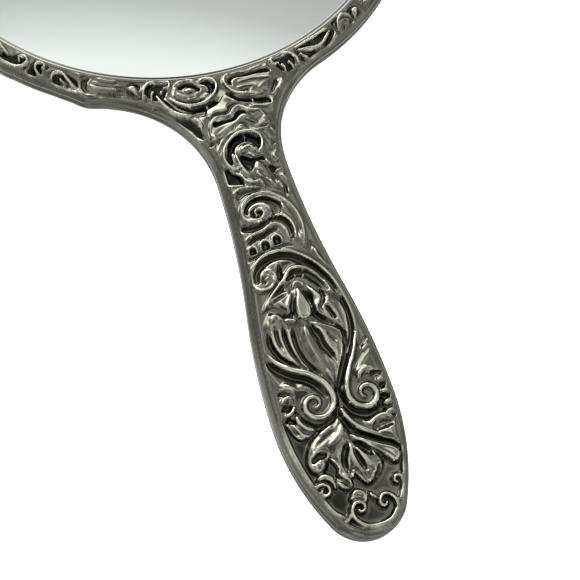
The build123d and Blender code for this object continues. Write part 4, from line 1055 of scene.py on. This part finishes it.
def bezel():
    """The bright ring round the glass: a dark groove beside the glass, then a bead."""
    profile = [
        (60.9, 8.05), (60.92, 8.38), (61.0, 8.46), (61.12, 8.44), (61.35, 8.28), (61.55, 8.2),
        (61.7, 8.34), (61.82, 8.66), (61.94, 8.86), (62.08, 8.93), (62.22, 8.86), (62.32, 8.66),
        (62.38, 8.4), (62.38, 3.25), (61.97, 3.25), (61.97, 8.05),
    ]
    sheet = Sheet()
    rings = [with_z(circle(r, BEZEL_STEP), z) for r, z in profile]
    for a, b in zip(rings, rings[1:] + rings[:1]):
        sheet.strip(b, a)
    return sheet.build("bezel_band")


def back_plain(p, d):
    """The back without ornament: a dish with a rounded edge, and the panel that the mirror rests on."""
    u = np.clip(d / BACK_ROLL, 0, 1)
    panel = smoothstep(PANEL_R + 1.0, PANEL_R, np.hypot(p[:, 0], p[:, 1]))
    return BACK_Z + BACK_ROLL * (1 - np.sqrt(1 - (1 - u) ** 2)) - BACK_Z * panel


def back_height(p):
    """Height of the back at each point: the front's ornament, lower, and two rings round the panel."""
    d = inset_of(p)
    f = Relief(p)
    ornament(f)
    lift = BACK_RELIEF * np.clip((f.h - GROUND) / 1.3, 0, 1) * smoothstep(2.2, 3.6, d)
    turn = np.linspace(0, 2 * math.pi, 220)
    for r in (PANEL_R + 2.6, PANEL_R + 4.2):
        ids, away, _ = f.along(r * np.stack([np.sin(turn), np.cos(turn)], 1), 0.6)
        lift[ids] += 0.35 * (1 - (away / 0.6) ** 2)
    return back_plain(p, d) - np.clip(lift, 0, BACK_Z - 0.1)


def back_shell():
    """The back as one closed shell."""
    sheet = Sheet()
    edge = outline(0, EDGE_STEP)
    rings = [outline(d, EDGE_STEP) for d in (0.05, 0.16, 0.34, 0.6, 0.95, 1.4, 1.9, 2.5)]
    fine = lattice(BACK_LATTICE, 2.9, PANEL_R + 1.8)
    panel = lattice(3.0, 2.9, 0)
    panel = panel[np.hypot(panel[:, 0], panel[:, 1]) < PANEL_R - 2]
    steps = [circle(r, 0.8) for r in np.linspace(PANEL_R - 0.4, PANEL_R + 1.4, 8)]
    flat, faces = triangulate([edge], np.vstack([*rings, *steps, fine, panel]))
    z = back_height(flat)
    sheet.add(np.column_stack([flat, z]), faces[:, ::-1])

    inner_edge = outline(SHEET, EDGE_STEP)
    near = [outline(SHEET + d, EDGE_STEP) for d in (0.6, 1.5)]
    inside, faces = triangulate([inner_edge], np.vstack([*near, lattice(1.6, SHEET + 2.2, 0)]))
    z_in = back_plain(inside, inset_of(inside)) + SHEET
    sheet.add(np.column_stack([inside, z_in]), faces)
    sheet.strip(with_z(edge, z[: len(edge)]), with_z(edge, PARTING_Z))
    sheet.strip(with_z(edge, PARTING_Z), with_z(inner_edge, PARTING_Z))
    sheet.strip(with_z(inner_edge, PARTING_Z), with_z(inner_edge, z_in[: len(inner_edge)]))
    return sheet.build("back_relief")


def blur(grid, reach):
    """A box blur, run twice each way. The grid comes back the way it went in."""
    n = 2 * reach + 1
    for _ in range(4):
        total = np.cumsum(np.pad(grid, ((reach + 1, reach), (0, 0)), mode="edge"), 0)
        grid = ((total[n:] - total[:-n]) / n).T
    return grid


def tarnish_wear_and_painted_light(obj, relief, outer):
    """Stores how bright each point is: tarnish and painted shade darken the hollows, and rubbed wear and
    painted highlights lighten the rises and crests.
    """
    n = len(obj.data.vertices)
    co = np.empty(3 * n)
    obj.data.vertices.foreach_get("co", co)
    p = co.reshape(-1, 3) / MM
    level = relief(p)
    on = outer(p, level) & (inset_of(p[:, :2]) > 0.3)
    margin = 6
    low, high = np.array([-HEAD_R, TIP_Y]) - margin, np.array([HEAD_R, HEAD_R]) + margin
    ij = ((p[:, :2] - low) / WEAR_AND_SHADE_CELL).astype(int)
    shape = ((high - low) / WEAR_AND_SHADE_CELL).astype(int) + 1
    flat = ij[:, 0] * shape[1] + ij[:, 1]
    total = np.bincount(flat[on], level[on], shape.prod()).reshape(shape)
    count = np.bincount(flat[on], minlength=shape.prod()).reshape(shape)
    narrow, wide = (blur(total, k) / np.maximum(blur(count, k), 1e-6) for k in (2, 6))
    crest = np.where(on, level - narrow.ravel()[flat], 0)
    lift = np.where(on, level - wide.ravel()[flat], 0)
    # Painted light with wear: rises and crests are made lighter as painted highlights, hollows darker as
    # painted shade.
    wear_and_painted_light = WEAR_AND_SHADE_PLAIN + WEAR_AND_LIGHT_RISE * np.clip(lift / 0.8, -1, 1) + WEAR_AND_HIGHLIGHT_HIGH * smoothstep(0.4, 0.8, lift)
    wear_and_painted_light += WEAR_AND_HIGHLIGHT_CREST * smoothstep(0.15, 0.45, crest) + TARNISH_AND_SHADE_HOLLOW * smoothstep(0.05, 0.3, -crest)
    # Painted shade: the floors of the deepest places are made nearly black, most of all from the neck up.
    up = smoothstep(-104, -92, p[:, 1])
    floor = smoothstep(0.16, 0.05, np.maximum(crest, (up - 1) * crest))
    black = (FLOOR_PAINTED_SHADE + NECK_PAINTED_SHADE * up) * on * smoothstep(-0.7, -1.1, level) * floor
    layer = obj.data.attributes.new("wear_and_painted_light", "FLOAT", "POINT")
    layer.data.foreach_set("value", np.clip(wear_and_painted_light, WEAR_AND_SHADE_LEAST, 1) * (1 - black))


def front_level(p):
    """How far each point of the front's mesh is over the plain surface."""
    return p[:, 2] - carrier(p[:, :2], inset_of(p[:, :2]))


def back_level(p):
    """How far each point of the back's mesh is out from the plain surface."""
    return back_plain(p[:, :2], inset_of(p[:, :2])) - p[:, 2]


front = front_shell()
back = back_shell()
# Paints shade into the hollows and highlights onto the rises and crests of both shells, with tarnish and
# wear.
tarnish_wear_and_painted_light(front, front_level, lambda p, z: (z > -1.6) & (p[:, 2] > PARTING_Z + 0.3))
tarnish_wear_and_painted_light(back, back_level, lambda p, z: (z > -0.5 * SHEET) & (p[:, 2] < PARTING_Z - 0.3))


# --- Materials ------------------------------------------------------------------------------------


def nodes_of(name):
    """A new material with nothing in it but a Principled shader."""
    mat = bpy.data.materials.new(name)
    mat.use_nodes = True
    tree = mat.node_tree
    tree.nodes.clear()
    out = tree.nodes.new("ShaderNodeOutputMaterial")
    bsdf = tree.nodes.new("ShaderNodeBsdfPrincipled")
    tree.links.new(bsdf.outputs["BSDF"], out.inputs["Surface"])
    return mat, tree, bsdf


def noise(tree, scale, detail):
    """A noise over the object's own coordinates."""
    coords = tree.nodes.new("ShaderNodeTexCoord")
    tex = tree.nodes.new("ShaderNodeTexNoise")
    tex.inputs["Scale"].default_value = scale
    tex.inputs["Detail"].default_value = detail
    tex.inputs["Roughness"].default_value = 0.55
    tree.links.new(coords.outputs["Object"], tex.inputs["Vector"])
    return tex.outputs["Fac"]


def ramp(tree, source, stops):
    """A colour ramp over a value."""
    node = tree.nodes.new("ShaderNodeValToRGB")
    els = node.color_ramp.elements
    while len(els) < len(stops):
        els.new(0.5)
    for el, (pos, colour) in zip(els, stops):
        el.position = pos
        el.color = (*colour, 1)
    tree.links.new(source, node.inputs["Fac"])
    return node.outputs["Color"]


def mixed(tree, kind, a, b, share=1.0):
    """Two colours, added or multiplied. The share is a number or a socket."""
    mix = tree.nodes.new("ShaderNodeMixRGB")
    mix.blend_type = kind
    for socket, value in zip(("Fac", "Color1", "Color2"), (share, a, b)):
        if isinstance(value, float):
            mix.inputs[socket].default_value = value
        else:
            tree.links.new(value, mix.inputs[socket])
    return mix.outputs["Color"]


def grey(v):
    """A grey of one value."""
    return (v, v, v)


def cloudy(tree, scale, detail, dark, light):
    """A colour that drifts between two."""
    return ramp(tree, noise(tree, scale, detail), [(0.3, dark), (0.7, light)])


def gloss(tree, bsdf, scale, rough, spread):
    """A roughness that drifts a little either side of a value."""
    source = cloudy(tree, scale, 2, grey(rough - spread / 2), grey(rough + spread / 2))
    tree.links.new(source, bsdf.inputs["Roughness"])


def bumpy(tree, bsdf, source, strength, depth):
    """A fine bump, whose depth is in metres."""
    bump = tree.nodes.new("ShaderNodeBump")
    bump.inputs["Strength"].default_value = strength
    bump.inputs["Distance"].default_value = depth
    tree.links.new(source, bump.inputs["Height"])
    tree.links.new(bump.outputs["Normal"], bsdf.inputs["Normal"])


def metal(name, dark, light, rough, spread=0.08, scale=900, pit=0.0, worn_and_shaded=False):
    """Metal or mirror. Worn metal has its colour multiplied by the mesh's stored brightness, which holds
    tarnish and wear together with painted shade in hollows and painted highlights on crests.
    """
    mat, tree, bsdf = nodes_of(name)
    bsdf.inputs["Metallic"].default_value = 1.0
    colour = cloudy(tree, 60, 4, dark, light)
    if worn_and_shaded:
        # Painted shade and painted highlights, with tarnish and wear, come in through this attribute.
        wear_and_painted_light = tree.nodes.new("ShaderNodeAttribute")
        wear_and_painted_light.attribute_name = "wear_and_painted_light"
        colour = mixed(tree, "MULTIPLY", colour, wear_and_painted_light.outputs["Fac"])
    tree.links.new(colour, bsdf.inputs["Base Color"])
    gloss(tree, bsdf, scale, rough, spread)
    if pit:
        bumpy(tree, bsdf, noise(tree, 420, 3), pit, 0.00004)
    return mat


def dull(name, dark, light, rough, scale, bump=0.3):
    """Card, felt, paint or plaster."""
    mat, tree, bsdf = nodes_of(name)
    tex = noise(tree, scale, 5)
    tree.links.new(ramp(tree, tex, [(0.3, dark), (0.7, light)]), bsdf.inputs["Base Color"])
    gloss(tree, bsdf, scale * 2, rough, 0.12)
    bumpy(tree, bsdf, tex, bump, 0.0001)
    return mat


# The plate's colour carries the painted shade and painted highlights stored on the shells.
plate = metal("aged_plate_painted_light", (0.80, 0.80, 0.655), (0.90, 0.90, 0.74), 0.11, pit=0.2, worn_and_shaded=True)
bright = metal("bright_plate", (0.34, 0.335, 0.31), (0.40, 0.395, 0.365), 0.14)
glass = metal("mirror_face", (0.80, 0.86, 0.82), (0.83, 0.88, 0.84), 0.035, spread=0.01, scale=40)
silver = metal("silver_film", (0.86, 0.86, 0.84), (0.92, 0.92, 0.90), 0.12)
steel = metal("core_steel", (0.36, 0.36, 0.37), (0.46, 0.46, 0.47), 0.38)
solder = metal("solder_grey", (0.42, 0.42, 0.42), (0.58, 0.58, 0.57), 0.45)
paint = dull("sealing_paint", (0.20, 0.22, 0.23), (0.26, 0.28, 0.29), 0.7, 220)
card = dull("card", (0.34, 0.27, 0.19), (0.44, 0.36, 0.27), 0.85, 500)
felt = dull("felt", (0.22, 0.20, 0.19), (0.32, 0.30, 0.28), 0.95, 900, bump=0.6)
pitch = dull("pitch_and_plaster", (0.12, 0.10, 0.085), (0.22, 0.19, 0.16), 0.8, 150, bump=0.5)


def give(obj, mat):
    """Gives an object one material."""
    obj.data.materials.clear()
    obj.data.materials.append(mat)


give(front, plate)
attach(front, "root")
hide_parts("front_shell")
band = bezel()
give(band, bright)
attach(band, "root")
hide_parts("bezel_ring")
give(back, plate)
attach(back, "root")
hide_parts("back_shell")

finishes = {
    "mirror_glass": glass,
    "silvering": silver,
    "backing_paint": paint,
    "backing_board": card,
    "packing_pad": felt,
    "handle_core": steel,
    "handle_filling": pitch,
    "filling_dam": card,
    "solder_seam": solder,
}
for node, mat in finishes.items():
    give(frame["nodes"][node], mat)


# --- Floor, light, camera -------------------------------------------------------------------------


def white(name, tone):
    """A white that glows a little."""
    mat, tree, bsdf = nodes_of(name)
    bsdf.inputs["Roughness"].default_value = 0.9
    bsdf.inputs["Specular IOR Level"].default_value = 0.0
    tree.links.new(cloudy(tree, 3, 2, grey(tone), grey(tone + 0.02)), bsdf.inputs["Base Color"])
    bsdf.inputs["Emission Color"].default_value = (1, 1, 1, 1)
    bsdf.inputs["Emission Strength"].default_value = 0.85
    return mat


def stage_piece(name, verts, faces, tone):
    """A white piece of the stage. It doesn't show in the metal, which sees the world's studio."""
    mesh = bpy.data.meshes.new(name)
    mesh.from_pydata(verts, [], faces)
    obj = bpy.data.objects.new(name, mesh)
    bpy.context.scene.collection.objects.link(obj)
    give(obj, white(name + "_white", tone))
    obj.visible_glossy = False
    return obj


def stage():
    """A white floor, and a round white wall far off. Sizes are in metres."""
    half, wall_r, wall_h, sides = 6.0, 5.5, 5.0, 96
    corners = [(-half, -half, 0), (half, -half, 0), (half, half, 0), (-half, half, 0)]
    stage_piece("floor", corners, [(0, 1, 2, 3)], 0.88)
    turns = [2 * math.pi * k / sides for k in range(sides)]
    rings = [(wall_r * math.cos(a), wall_r * math.sin(a), z) for z in (0, wall_h) for a in turns]
    faces = [((k + 1) % sides, k, k + sides, (k + 1) % sides + sides) for k in range(sides)]
    wall = stage_piece("wall", rings, faces, 0.80)
    wall.visible_diffuse = False
    wall.visible_shadow = False


stage()


def fill_light():
    """A wide soft lamp overhead, which doesn't show in the metal. Its place is in metres."""
    data = bpy.data.lights.new("fill_top", "AREA")
    data.size = 2.2
    data.energy = 75
    obj = bpy.data.objects.new("fill_top", data)
    place, target = Vector((0.1, 0.3, 1.6)), Vector((0, -0.06, 0))
    obj.location = place
    obj.rotation_euler = (target - place).to_track_quat("-Z", "Y").to_euler()
    obj.visible_glossy = False
    bpy.context.scene.collection.objects.link(obj)


fill_light()


def world():
    """A studio seen in reflections: a bright screen beyond the head, grey overhead, dark low down."""
    w = bpy.data.worlds.new("studio")
    w.use_nodes = True
    tree = w.node_tree
    tree.nodes.clear()
    out = tree.nodes.new("ShaderNodeOutputWorld")
    shown = tree.nodes.new("ShaderNodeBackground")
    tree.links.new(shown.outputs["Background"], out.inputs["Surface"])
    coords = tree.nodes.new("ShaderNodeTexCoord")

    def toward(direction, stops):
        """A colour ramp over the cosine of the angle from a direction."""
        dot = tree.nodes.new("ShaderNodeVectorMath")
        dot.operation = "DOT_PRODUCT"
        dot.inputs[1].default_value = Vector(direction).normalized()
        tree.links.new(coords.outputs["Generated"], dot.inputs[0])
        return ramp(tree, dot.outputs["Value"], stops)

    def greys(stops):
        """Stops of a colour ramp that has only greys."""
        return [(at, grey(v)) for at, v in stops.items()]

    # Grey overhead, which brightens quickly at about 0.79, where the glass in the picture looks.
    overhead = {
        0.0: 0.10, 0.30: 0.12, 0.60: 0.108, 0.74: 0.100, 0.768: 0.117, 0.783: 0.152,
        0.806: 0.207, 0.840: 0.20, 0.90: 0.175, 0.94: 0.160, 0.975: 0.135, 1.0: 0.125,
    }
    base = toward((-0.094, 0, 1), greys(overhead))
    patch = toward((0.1, -0.45, 0.88), greys({0.80: 1.0, 0.93: 0.30, 1.0: 0.22}))
    base = mixed(tree, "MULTIPLY", base, patch)

    # A room isn't even, but the glass sees a smooth part of it.
    room = tree.nodes.new("ShaderNodeTexNoise")
    room.inputs["Scale"].default_value = 2.6
    room.inputs["Detail"].default_value = 2.0
    tree.links.new(coords.outputs["Generated"], room.inputs["Vector"])
    uneven = ramp(tree, room.outputs["Fac"], greys({0.36: 0.55, 0.5: 1.0, 0.64: 1.75}))
    off_glass = toward((0.1, 0.6, 0.79), greys({0.955: 1.0, 0.985: 0.0}))
    base = mixed(tree, "MULTIPLY", base, uneven, off_glass)

    # The screen beyond the head, and a smaller one to its left.
    edge, full = (0.46, 0.455, 0.42), (0.54, 0.53, 0.49)
    window = toward((-0.15, 0.97, 0.20), [(0.785, grey(0.0)), (0.84, edge), (0.90, full), (1.0, full)])
    lamp = (0.50, 0.49, 0.45)
    left = toward((-0.45, 0.75, 0.48), [(0.950, grey(0.0)), (0.980, lamp), (1.0, lamp)])
    lights = mixed(tree, "ADD", window, left)
    tree.links.new(mixed(tree, "ADD", base, lights), shown.inputs["Color"])
    shown.inputs["Strength"].default_value = 5.2
    bpy.context.scene.world = w


world()


def camera():
    """Above the tip of the handle and to its left, looking down the handle."""
    data = bpy.data.cameras.new("camera")
    data.sensor_width = 36.0
    data.lens = 62.07
    data.clip_start = 0.01
    obj = bpy.data.objects.new("camera", data)
    eye = Vector((-41.0, -193.1, 208.6)) * MM
    target = Vector((-0.4, -118.1, 5.2)) * MM
    roll = Quaternion((0, 0, 1), math.radians(11.46))
    obj.rotation_mode = "QUATERNION"
    obj.location = eye
    obj.rotation_quaternion = (target - eye).to_track_quat("-Z", "Y") @ roll
    bpy.context.scene.collection.objects.link(obj)
    bpy.context.scene.camera = obj


camera()
bpy.context.scene.view_settings.view_transform = "Standard"
